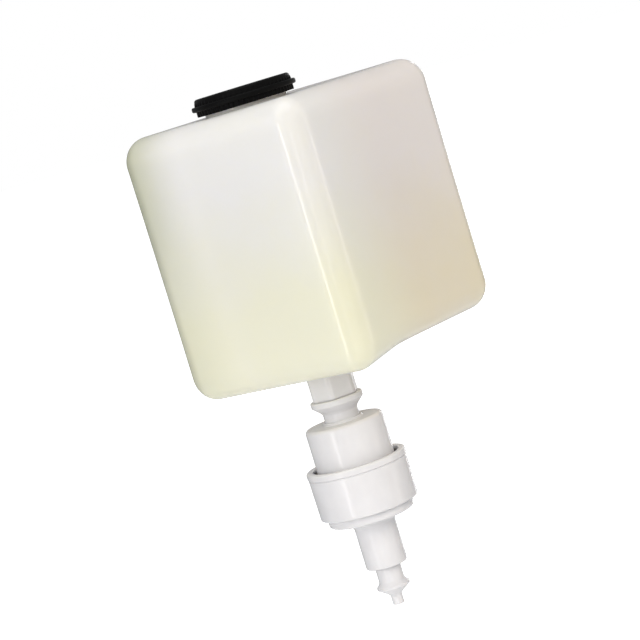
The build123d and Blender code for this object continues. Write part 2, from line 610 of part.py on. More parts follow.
with BuildPart() as inlet_cage:
    with BuildSketch(Plane.XY.offset(CAGE_BOTTOM_Z)):
        Circle(PUMP_NECK_BORE_R - FIT)
    extrude(amount=SEAT_BOTTOM_Z - CAGE_BOTTOM_Z)
    with BuildSketch(Plane.XY.offset(CAGE_FLOOR_Z)):
        Circle(INLET_BALL_R + CAGE_GAP)
    extrude(amount=SEAT_BOTTOM_Z - CAGE_FLOOR_Z, mode=Mode.SUBTRACT)
    with BuildSketch(Plane.XY.offset(CAGE_BOTTOM_Z)):
        with PolarLocations(INLET_BALL_R + CAGE_HOLE_R / 2, CAGE_HOLES):
            Circle(CAGE_HOLE_R)
    extrude(amount=SEAT_BOTTOM_Z - CAGE_BOTTOM_Z, mode=Mode.SUBTRACT)
inlet_cage.part.label = "inlet_cage"
export_step(inlet_cage.part, "parts/inlet_cage.step")

with BuildPart() as inlet_ball:
    with Locations((0, 0, INLET_BALL_Z)):
        Sphere(INLET_BALL_R)
inlet_ball.part.label = "inlet_ball"
export_step(inlet_ball.part, "parts/inlet_ball.step")

with BuildPart() as return_spring:
    add(coil(RETURN_MEAN_R, RETURN_WIRE_R, RETURN_BOTTOM_Z, RETURN_TOP_Z, RETURN_TURNS))
return_spring.part.label = "return_spring"
export_step(return_spring.part, "parts/return_spring.step")

# ---------------------------------------------------------------- moving plunger
# open cup that slides up over the air cylinder, with a rolled rim above a groove
with BuildPart() as actuator_skirt:
    with BuildSketch(Plane.XZ):
        with BuildLine():
            Polyline(
                (SLEEVE_R + FIT, SKIRT_BOTTOM_Z),
                (SKIRT_FOOT_R - SKIRT_FOOT_CHAMFER, SKIRT_BOTTOM_Z),
                (SKIRT_FOOT_R, SKIRT_BOTTOM_Z + SKIRT_FOOT_CHAMFER),
                (SKIRT_R - SKIRT_BODY_INSET, SKIRT_TOP - SKIRT_LIP_H - 2 * SKIRT_BODY_INSET),
                (SKIRT_R - SKIRT_BODY_INSET - SKIRT_GROOVE, SKIRT_TOP - SKIRT_LIP_H - SKIRT_BODY_INSET),
                (SKIRT_R - SKIRT_BODY_INSET - SKIRT_GROOVE, SKIRT_TOP - SKIRT_LIP_H),
                (SKIRT_R, SKIRT_TOP - SKIRT_LIP_H + SKIRT_BODY_INSET),
                (SKIRT_R, SKIRT_TOP - SKIRT_RIM_R),
            )
            RadiusArc(
                (SKIRT_R, SKIRT_TOP - SKIRT_RIM_R),
                (SKIRT_R - SKIRT_RIM_R, SKIRT_TOP),
                radius=-SKIRT_RIM_R,
            )
            Polyline(
                (SKIRT_R - SKIRT_RIM_R, SKIRT_TOP),
                (SKIRT_R - SKIRT_RIM_WIDTH + 0.5, SKIRT_TOP),
                (SKIRT_R - SKIRT_RIM_WIDTH, SKIRT_TOP - 0.5),
                (SKIRT_R - SKIRT_RIM_WIDTH, SKIRT_TOP - SKIRT_RIM_T + 0.8),
                (SKIRT_R - SKIRT_WALL - SKIRT_GROOVE - 0.3, SKIRT_TOP - SKIRT_RIM_T - 0.8),
                (SKIRT_FOOT_R - SKIRT_WALL, SKIRT_FLOOR_Z + 1.0),
                (SKIRT_FOOT_R - SKIRT_WALL - 1.0, SKIRT_FLOOR_Z),
                (SLEEVE_R + FIT, SKIRT_FLOOR_Z),
                (SLEEVE_R + FIT, SKIRT_BOTTOM_Z),
            )
        make_face()
    revolve(axis=Axis.Z)
actuator_skirt.part.label = "actuator_skirt"
export_step(actuator_skirt.part, "parts/actuator_skirt.step")

# ring under the cup, which a lever pushes up
with BuildPart() as push_ring:
    with BuildSketch(Plane.XY.offset(RING_BOTTOM_Z)):
        Circle(RING_R)
    extrude(amount=RING_T)
    fillet(push_ring.edges().group_by(Axis.Z)[0], radius=RING_EDGE_R)
    with BuildSketch(Plane.XY.offset(RING_BOTTOM_Z)):
        Circle(SLEEVE_R + FIT)
    extrude(amount=RING_T, mode=Mode.SUBTRACT)
push_ring.part.label = "push_ring"
export_step(push_ring.part, "parts/push_ring.step")

with BuildPart() as nozzle_sleeve:
    with BuildSketch(Plane.XY.offset(SLEEVE_BOTTOM_Z)):
        Circle(SLEEVE_R)
    extrude(amount=SKIRT_FLOOR_Z - SLEEVE_BOTTOM_Z)
    fillet(nozzle_sleeve.edges().group_by(Axis.Z)[0], radius=SLEEVE_FOOT_FILLET)
    with BuildSketch(Plane.XY.offset(SKIRT_FLOOR_Z)):
        Circle(SLEEVE_FLANGE_R)
    extrude(amount=SLEEVE_FLANGE_T)
    # short cone under the push ring
    with BuildSketch(Plane.XZ):
        with BuildLine():
            Line((SLEEVE_R - 0.1, RING_BOTTOM_Z), (SLEEVE_ROOT_R, RING_BOTTOM_Z))
            RadiusArc(
                (SLEEVE_ROOT_R, RING_BOTTOM_Z),
                (SLEEVE_R, RING_BOTTOM_Z - SLEEVE_ROOT_H),
                radius=SLEEVE_ROOT_SWEEP_R,
            )
            Polyline(
                (SLEEVE_R, RING_BOTTOM_Z - SLEEVE_ROOT_H),
                (SLEEVE_R - 0.1, RING_BOTTOM_Z - SLEEVE_ROOT_H),
                (SLEEVE_R - 0.1, RING_BOTTOM_Z),
            )
        make_face()
    revolve(axis=Axis.Z)
    with BuildSketch(Plane.XY.offset(SLEEVE_END_Z)):
        Circle(SLEEVE_BORE_R)
    extrude(amount=SLEEVE_TOP_Z - SLEEVE_END_Z, mode=Mode.SUBTRACT)
    with BuildSketch(Plane.XY.offset(SLEEVE_BOTTOM_Z)):
        Circle(NOZZLE_R + FIT)
    extrude(amount=SLEEVE_END_T, mode=Mode.SUBTRACT)
nozzle_sleeve.part.label = "nozzle_sleeve"
export_step(nozzle_sleeve.part, "parts/nozzle_sleeve.step")

# hollow rod: seal seat on top, plate for the air piston, outlet valve, tail in the sleeve
with BuildPart() as piston_rod:
    revolve(half_section(
        (2 * ROD_BORE_R, ROD_BOTTOM_Z),
        (SLEEVE_BORE_R - FIT, ROD_BOTTOM_Z),
        (SLEEVE_BORE_R - FIT, SLEEVE_TOP_Z),
        (SLEEVE_FLANGE_R - 1.0, SLEEVE_TOP_Z),
        (SLEEVE_FLANGE_R - 1.0, SLEEVE_TOP_Z + ROD_PLATE_T),
        (ROD_FOOT_R, SLEEVE_TOP_Z + 2.0),
        (ROD_FOOT_R, PISTON_UNDER_Z),
        (ROD_R, PISTON_UNDER_Z),
        (ROD_R, LIQUID_PISTON_UNDER_Z),
        (ROD_TOP_R, LIQUID_PISTON_UNDER_Z),
        (ROD_TOP_R, LIQUID_PISTON_TOP_Z),
        (ROD_BORE_R, LIQUID_PISTON_TOP_Z),
        (ROD_BORE_R, OUTLET_SEAT_Z + 1.0),
        (OUTLET_SEAT_R, OUTLET_SEAT_Z + 0.6),
        (OUTLET_SEAT_R, OUTLET_SEAT_Z),
        (OUTLET_CHAMBER_R, OUTLET_SEAT_Z - 0.9),
        (OUTLET_CHAMBER_R, OUTLET_SPRING_FOOT_Z),
        (ROD_BORE_R - 0.4, OUTLET_SPRING_FOOT_Z),
        (ROD_BORE_R - 0.4, OUTLET_SPRING_FOOT_Z - 1.0),
        (2 * ROD_BORE_R, OUTLET_SPRING_FOOT_Z - 2.7),
    ), axis=Axis.Z)
piston_rod.part.label = "piston_rod"
export_step(piston_rod.part, "parts/piston_rod.step")

# double-lipped seal on the rod's top
seal_r = PUMP_NECK_BORE_R - RUN
with BuildPart() as liquid_piston:
    revolve(half_section(
        (ROD_TOP_R + FIT, LIQUID_PISTON_UNDER_Z),
        (seal_r, LIQUID_PISTON_UNDER_Z),
        (seal_r, LIQUID_PISTON_UNDER_Z + LIQUID_LIP_T),
        (seal_r - LIQUID_WAIST, LIQUID_PISTON_UNDER_Z + LIQUID_LIP_T + LIQUID_WAIST),
        (seal_r - LIQUID_WAIST, LIQUID_PISTON_TOP_Z - LIQUID_LIP_T - LIQUID_WAIST),
        (seal_r, LIQUID_PISTON_TOP_Z - LIQUID_LIP_T),
        (seal_r, LIQUID_PISTON_TOP_Z),
        (seal_r - LIQUID_WAIST, LIQUID_PISTON_TOP_Z),
        (seal_r - 2 * LIQUID_WAIST, LIQUID_PISTON_TOP_Z - LIQUID_WAIST),
        (ROD_TOP_R + FIT, LIQUID_PISTON_TOP_Z - LIQUID_WAIST),
    ), axis=Axis.Z)
liquid_piston.part.label = "liquid_piston"
export_step(liquid_piston.part, "parts/liquid_piston.step")

# air piston: a plate on the rod with a lip that wipes the air cylinder
wiper_r = AIR_BORE_R - RUN
with BuildPart() as air_piston:
    revolve(half_section(
        (ROD_R + FIT, PISTON_UNDER_Z),
        (AIR_BORE_R - STOP_RING_W, PISTON_UNDER_Z),
        (wiper_r - LIP_RELIEF, PISTON_UNDER_Z + LIP_RELIEF),
        (wiper_r - LIP_RELIEF, PISTON_TOP_Z + AIR_PISTON_LIP_H - 1.6),
        (wiper_r, PISTON_TOP_Z + AIR_PISTON_LIP_H - 1.0),
        (wiper_r, PISTON_TOP_Z + AIR_PISTON_LIP_H),
        (wiper_r - 2 * LIP_RELIEF, PISTON_TOP_Z + AIR_PISTON_LIP_H),
        (wiper_r - AIR_PISTON_LIP_W - LIP_RELIEF, PISTON_TOP_Z + 2 * LIP_RELIEF),
        (wiper_r - AIR_PISTON_LIP_W - 3 * LIP_RELIEF, PISTON_TOP_Z),
        (ROD_R + FIT, PISTON_TOP_Z),
    ), axis=Axis.Z)
air_piston.part.label = "air_piston"
export_step(air_piston.part, "parts/air_piston.step")

with BuildPart() as outlet_ball:
    with Locations((0, 0, OUTLET_BALL_Z)):
        Sphere(OUTLET_BALL_R)
outlet_ball.part.label = "outlet_ball"
export_step(outlet_ball.part, "parts/outlet_ball.step")

with BuildPart() as outlet_spring:
    add(coil(
        OUTLET_MEAN_R, OUTLET_WIRE_R,
        OUTLET_SPRING_FOOT_Z + SEAM, OUTLET_SPRING_FOOT_Z + SEAM + OUTLET_SPRING_H, OUTLET_TURNS,
    ))
outlet_spring.part.label = "outlet_spring"
export_step(outlet_spring.part, "parts/outlet_spring.step")

# ---------------------------------------------------------------- foamer inside the sleeve
with BuildPart() as mixing_chamber:
    with BuildSketch(Plane.XY.offset(MIXER_BOTTOM_Z)):
        Circle(SLEEVE_BORE_R - FIT)
        Circle(SLEEVE_BORE_R - FIT - MIXER_WALL, mode=Mode.SUBTRACT)
    extrude(amount=MIXER_TOP_Z - MIXER_BOTTOM_Z)
    with BuildSketch(Plane.XY.offset(MIXER_TOP_Z)):
        Circle(SLEEVE_BORE_R - FIT)
        Circle(ROD_BORE_R, mode=Mode.SUBTRACT)
        with PolarLocations(SLEEVE_BORE_R / 2, MIXER_HOLES):
            Circle(MIXER_HOLE_R, mode=Mode.SUBTRACT)
    extrude(amount=-MIXER_ROOF_T)
mixing_chamber.part.label = "mixing_chamber"
export_step(mixing_chamber.part, "parts/mixing_chamber.step")

with BuildPart() as screen_cartridge:
    with BuildSketch(Plane.XY.offset(CARTRIDGE_BOTTOM_Z)):
        Circle(SLEEVE_BORE_R - FIT)
    extrude(amount=CARTRIDGE_HEIGHT)
    with BuildSketch(Plane.XY.offset(CARTRIDGE_BOTTOM_Z)):
        Circle(SLEEVE_BORE_R - FIT - CARTRIDGE_WALL - SCREEN_LEDGE)
    extrude(amount=CARTRIDGE_HEIGHT, mode=Mode.SUBTRACT)
    for seat_z in (CARTRIDGE_TOP_Z, CARTRIDGE_BOTTOM_Z + SCREEN_T):
        with BuildSketch(Plane.XY.offset(seat_z)):
            Circle(SLEEVE_BORE_R - FIT - CARTRIDGE_WALL)
        extrude(amount=-SCREEN_T, mode=Mode.SUBTRACT)
screen_cartridge.part.label = "screen_cartridge"
export_step(screen_cartridge.part, "parts/screen_cartridge.step")

screen_r = SLEEVE_BORE_R - 2 * FIT - CARTRIDGE_WALL
screen_cells = int(2 * (screen_r - SCREEN_HOLE) / SCREEN_PITCH)
for screen_name, screen_z in (
    ("upper_screen", CARTRIDGE_TOP_Z - SCREEN_T),
    ("lower_screen", CARTRIDGE_BOTTOM_Z),
):
    with BuildPart() as screen:
        with BuildSketch(Plane.XY.offset(screen_z)):
            Circle(screen_r)
            with GridLocations(SCREEN_PITCH, SCREEN_PITCH, screen_cells, screen_cells) as cells:
                inside = [spot for spot in cells.locations if spot.position.length < screen_r - SCREEN_HOLE]
            with Locations(*inside):
                Rectangle(SCREEN_HOLE, SCREEN_HOLE, mode=Mode.SUBTRACT)
        extrude(amount=SCREEN_T)
    screen.part.label = screen_name
    export_step(screen.part, f"parts/{screen_name}.step")

# ---------------------------------------------------------------- nozzle
# stem, umbrella flare, cone and tip; its flange rests on the sleeve's end
with BuildPart() as nozzle_tip:
    with BuildSketch(Plane.XZ):
        with BuildLine():
            Polyline(
                (NOZZLE_BORE_R, NOZZLE_TOP_Z),
                (SLEEVE_BORE_R - FIT, NOZZLE_TOP_Z),
                (SLEEVE_BORE_R - FIT, SLEEVE_END_Z),
                (NOZZLE_R, SLEEVE_END_Z),
                (NOZZLE_R, NOZZLE_FLARE_Z),
            )
            RadiusArc(
                (NOZZLE_R, NOZZLE_FLARE_Z),
                (NOZZLE_FLARE_R, NOZZLE_RIM_Z),
                radius=-NOZZLE_FLARE_SWEEP_R,
            )
            Polyline(
                (NOZZLE_FLARE_R, NOZZLE_RIM_Z),
                (NOZZLE_FLARE_R, NOZZLE_CONE_Z),
                (TIP_R + 0.5, TIP_TOP_Z + 0.4),
                (TIP_R, TIP_TOP_Z - 0.2),
                (TIP_R, TIP_BOTTOM_Z + TIP_ROUND_R),
            )
            RadiusArc(
                (TIP_R, TIP_BOTTOM_Z + TIP_ROUND_R),
                (TIP_R - TIP_ROUND_R, TIP_BOTTOM_Z),
                radius=TIP_ROUND_R,
            )
            Polyline(
                (TIP_R - TIP_ROUND_R, TIP_BOTTOM_Z),
                (TIP_BORE_R, TIP_BOTTOM_Z),
                (TIP_BORE_R, TIP_TOP_Z + 1.0),
                (NOZZLE_BORE_R, NOZZLE_RIM_Z),
                (NOZZLE_BORE_R, NOZZLE_TOP_Z),
            )
        make_face()
    revolve(axis=Axis.Z)
nozzle_tip.part.label = "nozzle_tip"
export_step(nozzle_tip.part, "parts/nozzle_tip.step")

# slit dome that keeps the nozzle from dripping
with BuildPart() as drip_valve:
    with BuildSketch(Plane.XY.offset(NOZZLE_RIM_Z)):
        Circle(NOZZLE_BORE_R - FIT)
    extrude(amount=DRIP_VALVE_T)
    with BuildSketch(Plane.XY.offset(NOZZLE_RIM_Z + DRIP_VALVE_T)):
        Circle(NOZZLE_BORE_R - DRIP_DOME_INSET)
    extrude(amount=DRIP_VALVE_DOME_H, taper=DRIP_TAPER)
    with BuildSketch(Plane.XY.offset(NOZZLE_RIM_Z)):
        Rectangle(2 * (NOZZLE_BORE_R - DRIP_SLIT_INSET), DRIP_SLIT_W)
        Rectangle(DRIP_SLIT_W, 2 * (NOZZLE_BORE_R - DRIP_SLIT_INSET))
    extrude(amount=DRIP_VALVE_T + DRIP_VALVE_DOME_H, mode=Mode.SUBTRACT)
drip_valve.part.label = "drip_valve"
export_step(drip_valve.part, "parts/drip_valve.step")
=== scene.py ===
"""Looks for a refillable soap tank with an inverted foam pump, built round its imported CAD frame.

Lengths in the size fields are millimetres. Meshes are made in metres, in the CAD model's frame:
+Z up along the pump axis, the tank's front towards -Y.
"""

import json
import logging
import math
from collections.abc import Callable, Iterable, Sequence
from dataclasses import dataclass
from enum import Enum
from functools import cache

import bmesh
import bpy
from mathutils import Matrix, Vector, noise

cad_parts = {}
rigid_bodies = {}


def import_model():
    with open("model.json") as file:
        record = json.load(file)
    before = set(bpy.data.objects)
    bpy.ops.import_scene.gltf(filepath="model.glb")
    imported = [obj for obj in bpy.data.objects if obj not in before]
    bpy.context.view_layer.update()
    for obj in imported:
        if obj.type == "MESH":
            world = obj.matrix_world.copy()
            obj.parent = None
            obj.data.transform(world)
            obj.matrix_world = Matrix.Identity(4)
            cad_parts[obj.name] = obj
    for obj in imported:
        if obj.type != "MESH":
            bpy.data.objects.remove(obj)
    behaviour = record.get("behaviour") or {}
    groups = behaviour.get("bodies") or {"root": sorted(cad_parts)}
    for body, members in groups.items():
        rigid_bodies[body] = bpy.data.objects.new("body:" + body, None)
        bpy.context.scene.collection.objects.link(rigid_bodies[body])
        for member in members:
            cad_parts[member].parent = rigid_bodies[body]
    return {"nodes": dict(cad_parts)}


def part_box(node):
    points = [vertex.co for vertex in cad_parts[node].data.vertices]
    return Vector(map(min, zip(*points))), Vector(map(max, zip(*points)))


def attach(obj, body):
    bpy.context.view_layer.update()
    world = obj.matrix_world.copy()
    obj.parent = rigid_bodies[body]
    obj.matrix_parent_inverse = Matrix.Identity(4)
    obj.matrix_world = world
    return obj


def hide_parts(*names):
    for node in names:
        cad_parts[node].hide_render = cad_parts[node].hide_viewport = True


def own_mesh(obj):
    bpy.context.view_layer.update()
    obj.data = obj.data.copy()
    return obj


for leftover in list(bpy.data.objects):
    bpy.data.objects.remove(leftover)
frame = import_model()

LOG = logging.getLogger("soap_tank")
MM = 0.001
Outline = list[tuple[float, float]]
RadiusRule = Callable[[float, float, float], float]
Values = dict[str | int, object]
Mesh, Tree, Socket = bmesh.types.BMesh, bpy.types.NodeTree, bpy.types.NodeSocket


# ---- small tools
def linear(hex_code: str) -> tuple[float, float, float, float]:
    """Turn an sRGB hex colour into linear RGBA.

    Args:
        hex_code: Six hexadecimal digits, with or without a leading #.

    Returns:
        Red, green, blue and an alpha of 1, linear.
    """
    digits = hex_code.lstrip("#")
    channels = [int(digits[i : i + 2], 16) / 255 for i in (0, 2, 4)]
    return (*[c / 12.92 if c <= 0.04045 else ((c + 0.055) / 1.055) ** 2.4 for c in channels], 1.0)


def per_mm(size_mm: float) -> float:
    """Texture scale whose pattern repeats about once every size_mm."""
    return 1.0 / (size_mm * MM)


def add_node(
    tree: Tree, kind: str, values: Values | None = None, links: dict[str | int, Socket] | None = None,
    **attributes: object,
) -> bpy.types.Node:
    """Add a node with its settings and links.

    Args:
        tree: Node tree that gets the node.
        kind: The node's type name.
        values: Input sockets' own values, by name or number.
        links: Output sockets to join to inputs, by name or number.
        **attributes: Settings of the node itself, such as operation.

    Returns:
        The new node.
    """
    node = tree.nodes.new(kind)
    for name, value in attributes.items():
        setattr(node, name, value)
    for key, value in (values or {}).items():
        node.inputs[key].default_value = value
    for key, socket in (links or {}).items():
        tree.links.new(socket, node.inputs[key])
    return node


def rounded(*corners: tuple[float, float, float]) -> Outline:
    """Closed outline with each corner rounded.

    Args:
        *corners: Radius from the axis, height, and the corner's own fillet radius, in mm.

    Returns:
        Points in mm, in order round the outline.
    """
    points: Outline = []
    count = len(corners)
    for i, (x, z, fillet) in enumerate(corners):
        here = Vector((x, z))
        before = Vector(corners[i - 1][:2]) - here
        after = Vector(corners[(i + 1) % count][:2]) - here
        turn = before.angle(after)
        if fillet <= 0 or turn > math.pi - 0.02:
            points.append((x, z))
            continue
        reach = min(fillet / math.tan(turn / 2), 0.49 * before.length, 0.49 * after.length)
        radius = reach * math.tan(turn / 2)
        centre = here + (before.normalized() + after.normalized()).normalized() * radius / math.sin(turn / 2)
        first = here + before.normalized() * reach - centre
        last = here + after.normalized() * reach - centre
        sweep = first.angle(last)
        side = 1 if first.x * last.y - first.y * last.x > 0 else -1
        steps = max(2, math.ceil(math.degrees(sweep) / 11))
        for k in range(steps + 1):
            angle = side * sweep * k / steps
            points.append(
                (
                    centre.x + first.x * math.cos(angle) - first.y * math.sin(angle),
                    centre.y + first.x * math.sin(angle) + first.y * math.cos(angle),
                )
            )
    return points


def spin(outline: Outline, segments: int, rule: RadiusRule | None = None) -> Mesh:
    """Turn a closed outline round the Z axis into a mesh.

    Args:
        outline: Radius and height pairs, in mm.
        segments: Number of steps round the axis.
        rule: Gives the radius to use for a radius, height and angle, for ribs, flats and lines.

    Returns:
        A closed mesh in metres.
    """
    mesh = bmesh.new()
    rings = []
    for k in range(segments):
        angle = 2 * math.pi * k / segments
        ring = []
        for radius, height in outline:
            r = rule(radius, height, angle) if rule and radius > 0 else radius
            ring.append(mesh.verts.new((r * MM * math.cos(angle), r * MM * math.sin(angle), height * MM)))
        rings.append(ring)
    for k in range(segments):
        here, there = rings[k], rings[(k + 1) % segments]
        for i in range(len(outline)):
            j = (i + 1) % len(outline)
            mesh.faces.new((here[i], there[i], there[j], here[j]))
    bmesh.ops.remove_doubles(mesh, verts=mesh.verts, dist=1e-7)
    bmesh.ops.recalc_face_normals(mesh, faces=mesh.faces)
    return mesh


def sweep_ridge(path: Sequence[Vector], radius: float, sides: int = 10) -> Mesh:
    """Round bead along a path, closed at both ends.

    Args:
        path: Points along the bead, in mm.
        radius: The bead's radius, in mm.
        sides: Number of sides of its section.

    Returns:
        A closed mesh in metres.
    """
    mesh = bmesh.new()
    rings = []
    for i, point in enumerate(path):
        ahead = path[min(i + 1, len(path) - 1)] - path[max(i - 1, 0)]
        turn = ahead.to_track_quat("Z", "Y").to_matrix()
        ring = []
        for k in range(sides):
            angle = 2 * math.pi * k / sides
            offset = turn @ Vector((radius * math.cos(angle), radius * math.sin(angle), 0))
            ring.append(mesh.verts.new((point + offset) * MM))
        rings.append(ring)
    for here, there in zip(rings, rings[1:]):
        for k in range(sides):
            j = (k + 1) % sides
            mesh.faces.new((here[k], here[j], there[j], there[k]))
    mesh.faces.new(list(reversed(rings[0])))
    mesh.faces.new(rings[-1])
    bmesh.ops.recalc_face_normals(mesh, faces=mesh.faces)
    return mesh


def to_object(name: str, mesh: Mesh, crease_deg: float = 32.0) -> bpy.types.Object:
    """Make an object from a mesh, smooth except at edges sharper than crease_deg.

    Args:
        name: The piece's name.
        mesh: The mesh, which is freed.
        crease_deg: Edges that turn by more than this stay sharp.

    Returns:
        The new object, linked to the scene.
    """
    data = bpy.data.meshes.new(name)
    mesh.to_mesh(data)
    mesh.free()
    data.shade_smooth()
    data.set_sharp_from_angle(angle=math.radians(crease_deg))
    piece = bpy.data.objects.new(name, data)
    bpy.context.scene.collection.objects.link(piece)
    return piece


def combine(piece: bpy.types.Object, tool: bpy.types.Object, operation: str) -> None:
    """Apply one boolean operation to a piece and drop the tool.

    Args:
        piece: The object that is changed.
        tool: The object that is added or cut away, and then removed.
        operation: UNION or DIFFERENCE.
    """
    modifier = piece.modifiers.new("combine", "BOOLEAN")
    modifier.operation = operation
    modifier.solver = "EXACT"
    modifier.object = tool
    evaluated = piece.evaluated_get(bpy.context.evaluated_depsgraph_get())
    result = bpy.data.meshes.new_from_object(evaluated)
    piece.modifiers.clear()
    old = piece.data
    piece.data = result
    result.name = old.name
    bpy.data.meshes.remove(old)
    bpy.data.objects.remove(tool)


# ---- finishes
class Shine(Enum):
    """How a mould's surface leaves the plastic: its base roughness."""

    POLISHED = 0.20
    SATIN = 0.34
    SPARKED = 0.46


@dataclass(frozen=True)
class Finish:
    """What every finish shares: its record slot and the start of its material."""

    name: str
    slot: str

    def start(self, values: Values) -> tuple[Tree, bpy.types.Node, Socket]:
        """Start the material.

        Args:
            values: The Principled shader's own values, by socket.

        Returns:
            Its node tree, its Principled shader and the object coordinates' socket.
        """
        material = bpy.data.materials.new(self.name)
        material.use_nodes = True
        tree = material.node_tree
        tree.nodes.clear()
        shader = add_node(tree, "ShaderNodeBsdfPrincipled", values)
        add_node(tree, "ShaderNodeOutputMaterial", links={"Surface": shader.outputs[0]})
        where = add_node(tree, "ShaderNodeTexCoord").outputs["Object"]
        return tree, shader, where

    def material(self) -> bpy.types.Material:
        """The finish's material, made once."""
        if self.name not in bpy.data.materials:
            self.make()
        return bpy.data.materials[self.name]

    def make(self) -> None:
        """Build the material; each finish has its own."""
        raise NotImplementedError

    def vary(
        self, tree: Tree, shader: bpy.types.Node, pattern: Socket, colours: tuple[str, str] | None = None,
        roughness: tuple[float, float] | None = None, relief: float | None = None,
    ) -> None:
        """Let a pattern vary the surface.

        Args:
            tree: The material's node tree.
            shader: Its Principled shader.
            pattern: Socket that goes from 0 to 1.
            colours: Hex colours at 0 and at 1.
            roughness: Roughness at 0 and at 1.
            relief: Strength of a bump a tenth of a millimetre high.
        """
        if colours:
            first, second = map(linear, colours)
            tint = add_node(tree, "ShaderNodeMix", {6: first, 7: second}, {0: pattern}, data_type="RGBA")
            tree.links.new(tint.outputs[2], shader.inputs["Base Color"])
        if roughness:
            low, high = roughness
            gloss = add_node(tree, "ShaderNodeMapRange", {"To Min": low, "To Max": high}, {"Value": pattern})
            tree.links.new(gloss.outputs[0], shader.inputs["Roughness"])
        if relief:
            height = {"Strength": relief, "Distance": 0.1 * MM}
            bump = add_node(tree, "ShaderNodeBump", height, {"Height": pattern})
            tree.links.new(bump.outputs[0], shader.inputs["Normal"])

    def dress(self, piece: bpy.types.Object) -> None:
        """Give a piece this finish."""
        piece.data.materials.clear()
        piece.data.materials.append(self.material())


@dataclass(frozen=True)
class BlownPolyethylene(Finish):
    """Natural polyethylene, blow moulded: milky and waxy.

    Light bleeds under its surface, so the tank has no hard shadow side. It is cool and pale up high
    and creamier low down. The wall's varying thickness isn't modelled. The rear half carries a warm
    painted shade, the front's left edge a duller band of painted shade, and the upright corners grey painted
    shade.
    """

    cool_tone: str = "#f3efe7"
    creamy: str = "#f6f1d0"
    shaded: str = "#f1e5dc"
    shaded_creamy: str = "#f1dfbf"
    edge_shade: str = "#bcbda5"
    corner_shade_tint: str = "#f1f1ef"
    cloud_mm: float = 34.0
    cloud_push: float = 0.80
    grain_mm: float = 0.7  # real grain is about 0.2 mm, drawn coarser so that it shows
    grain_strength: float = 0.10
    gloss: tuple[float, float] = (0.10, 0.17)
    creamy_z: tuple[float, float] = (90.4, 22.7)
    rear_shade_y: tuple[float, float] = (-30.5, 23.5)
    rear_shade_share: float = 0.9
    band_x: tuple[float, float] = (-12.0, -46.5)
    band_y: tuple[float, float] = (-0.5, -30.5)
    band_low_share: float = 0.5
    corner_turn: tuple[float, float] = (0.06, 0.46)

    def make(self) -> None:
        """Build the milky polyethylene."""
        tree, shader, where = self.start({
            "IOR": 1.51, "Subsurface Weight": 0.55, "Subsurface Radius": (1.0, 0.92, 0.72),
            "Subsurface Scale": 0.007,
        })
        spot = add_node(tree, "ShaderNodeSeparateXYZ", links={0: where}).outputs
        cloud = add_node(
            tree, "ShaderNodeTexNoise", {"Scale": per_mm(self.cloud_mm), "Detail": 3.0, "Roughness": 0.5},
            {"Vector": where},
        ).outputs["Fac"]
        # each goes from 0 to its share between two places along one axis
        depth, rear, side, fore = (
            add_node(
                tree, "ShaderNodeMapRange",
                {"From Min": first * MM, "From Max": last * MM, "To Max": share}, {"Value": spot[axis]},
                interpolation_type="SMOOTHSTEP",
            ).outputs[0]
            for axis, (first, last), share in (
                ("Z", self.creamy_z, 1.0), ("Y", self.rear_shade_y, self.rear_shade_share),
                ("X", self.band_x, 1.0), ("Y", self.band_y, 1.0),
            )
        )
        # the cloud pushes about how creamy it is at a height
        drift = add_node(
            tree, "ShaderNodeMath", {1: self.cloud_push, 2: -self.cloud_push / 2}, {0: cloud},
            operation="MULTIPLY_ADD",
        )
        amount = add_node(
            tree, "ShaderNodeMath", {}, {0: depth, 1: drift.outputs[0]}, operation="ADD", use_clamp=True,
        )
        # painted shade: the rear half is darker and warmer, pinkish up high and tan where it is creamier low
        # down
        front_tone, shaded_tone = (
            add_node(
                tree, "ShaderNodeMix", {6: linear(first), 7: linear(second)}, {0: amount.outputs[0]},
                data_type="RGBA",
            ).outputs[2]
            for first, second in ((self.cool_tone, self.creamy), (self.shaded, self.shaded_creamy))
        )
        tone = add_node(tree, "ShaderNodeMix", {}, {0: rear, 6: front_tone, 7: shaded_tone}, data_type="RGBA")
        # painted shade: a duller band at the front's left edge, fainter low down
        faint = {"To Min": 1.0, "To Max": self.band_low_share}
        high = add_node(tree, "ShaderNodeMapRange", faint, {"Value": depth}).outputs[0]
        band_shade = side
        for share in (fore, high):
            product = add_node(tree, "ShaderNodeMath", {}, {0: band_shade, 1: share}, operation="MULTIPLY")
            band_shade = product.outputs[0]
        # wall is the tone with that band of painted shade mixed in
        wall = add_node(
            tree, "ShaderNodeMix", {7: linear(self.edge_shade)}, {0: band_shade, 6: tone.outputs[2]}, data_type="RGBA",
        )
        # painted shade: grey upright corners, where the normal points between two faces
        normal = add_node(tree, "ShaderNodeTexCoord").outputs["Normal"]
        facing = add_node(tree, "ShaderNodeSeparateXYZ", links={0: normal}).outputs
        sides = {0: facing["X"], 1: facing["Y"]}
        across = add_node(tree, "ShaderNodeMath", {}, sides, operation="MULTIPLY").outputs[0]
        diagonal = add_node(tree, "ShaderNodeMath", {}, {0: across}, operation="ABSOLUTE").outputs[0]
        low, full = self.corner_turn
        corner = add_node(
            tree, "ShaderNodeMapRange", {"From Min": low, "From Max": full}, {"Value": diagonal},
            interpolation_type="SMOOTHSTEP",
        )
        # skin is the tone with the corners' painted shade multiplied in
        skin = add_node(
            tree, "ShaderNodeMix", {7: linear(self.corner_shade_tint)}, {0: corner.outputs[0], 6: wall.outputs[2]},
            data_type="RGBA", blend_type="MULTIPLY",
        )
        tree.links.new(skin.outputs[2], shader.inputs["Base Color"])
        # waxy gloss that varies with the wall's cooling
        self.vary(tree, shader, cloud, roughness=self.gloss)
        grain = add_node(
            tree, "ShaderNodeTexNoise", {"Scale": per_mm(self.grain_mm), "Detail": 2.0}, {"Vector": where},
        )
        self.vary(tree, shader, grain.outputs["Fac"], relief=self.grain_strength)


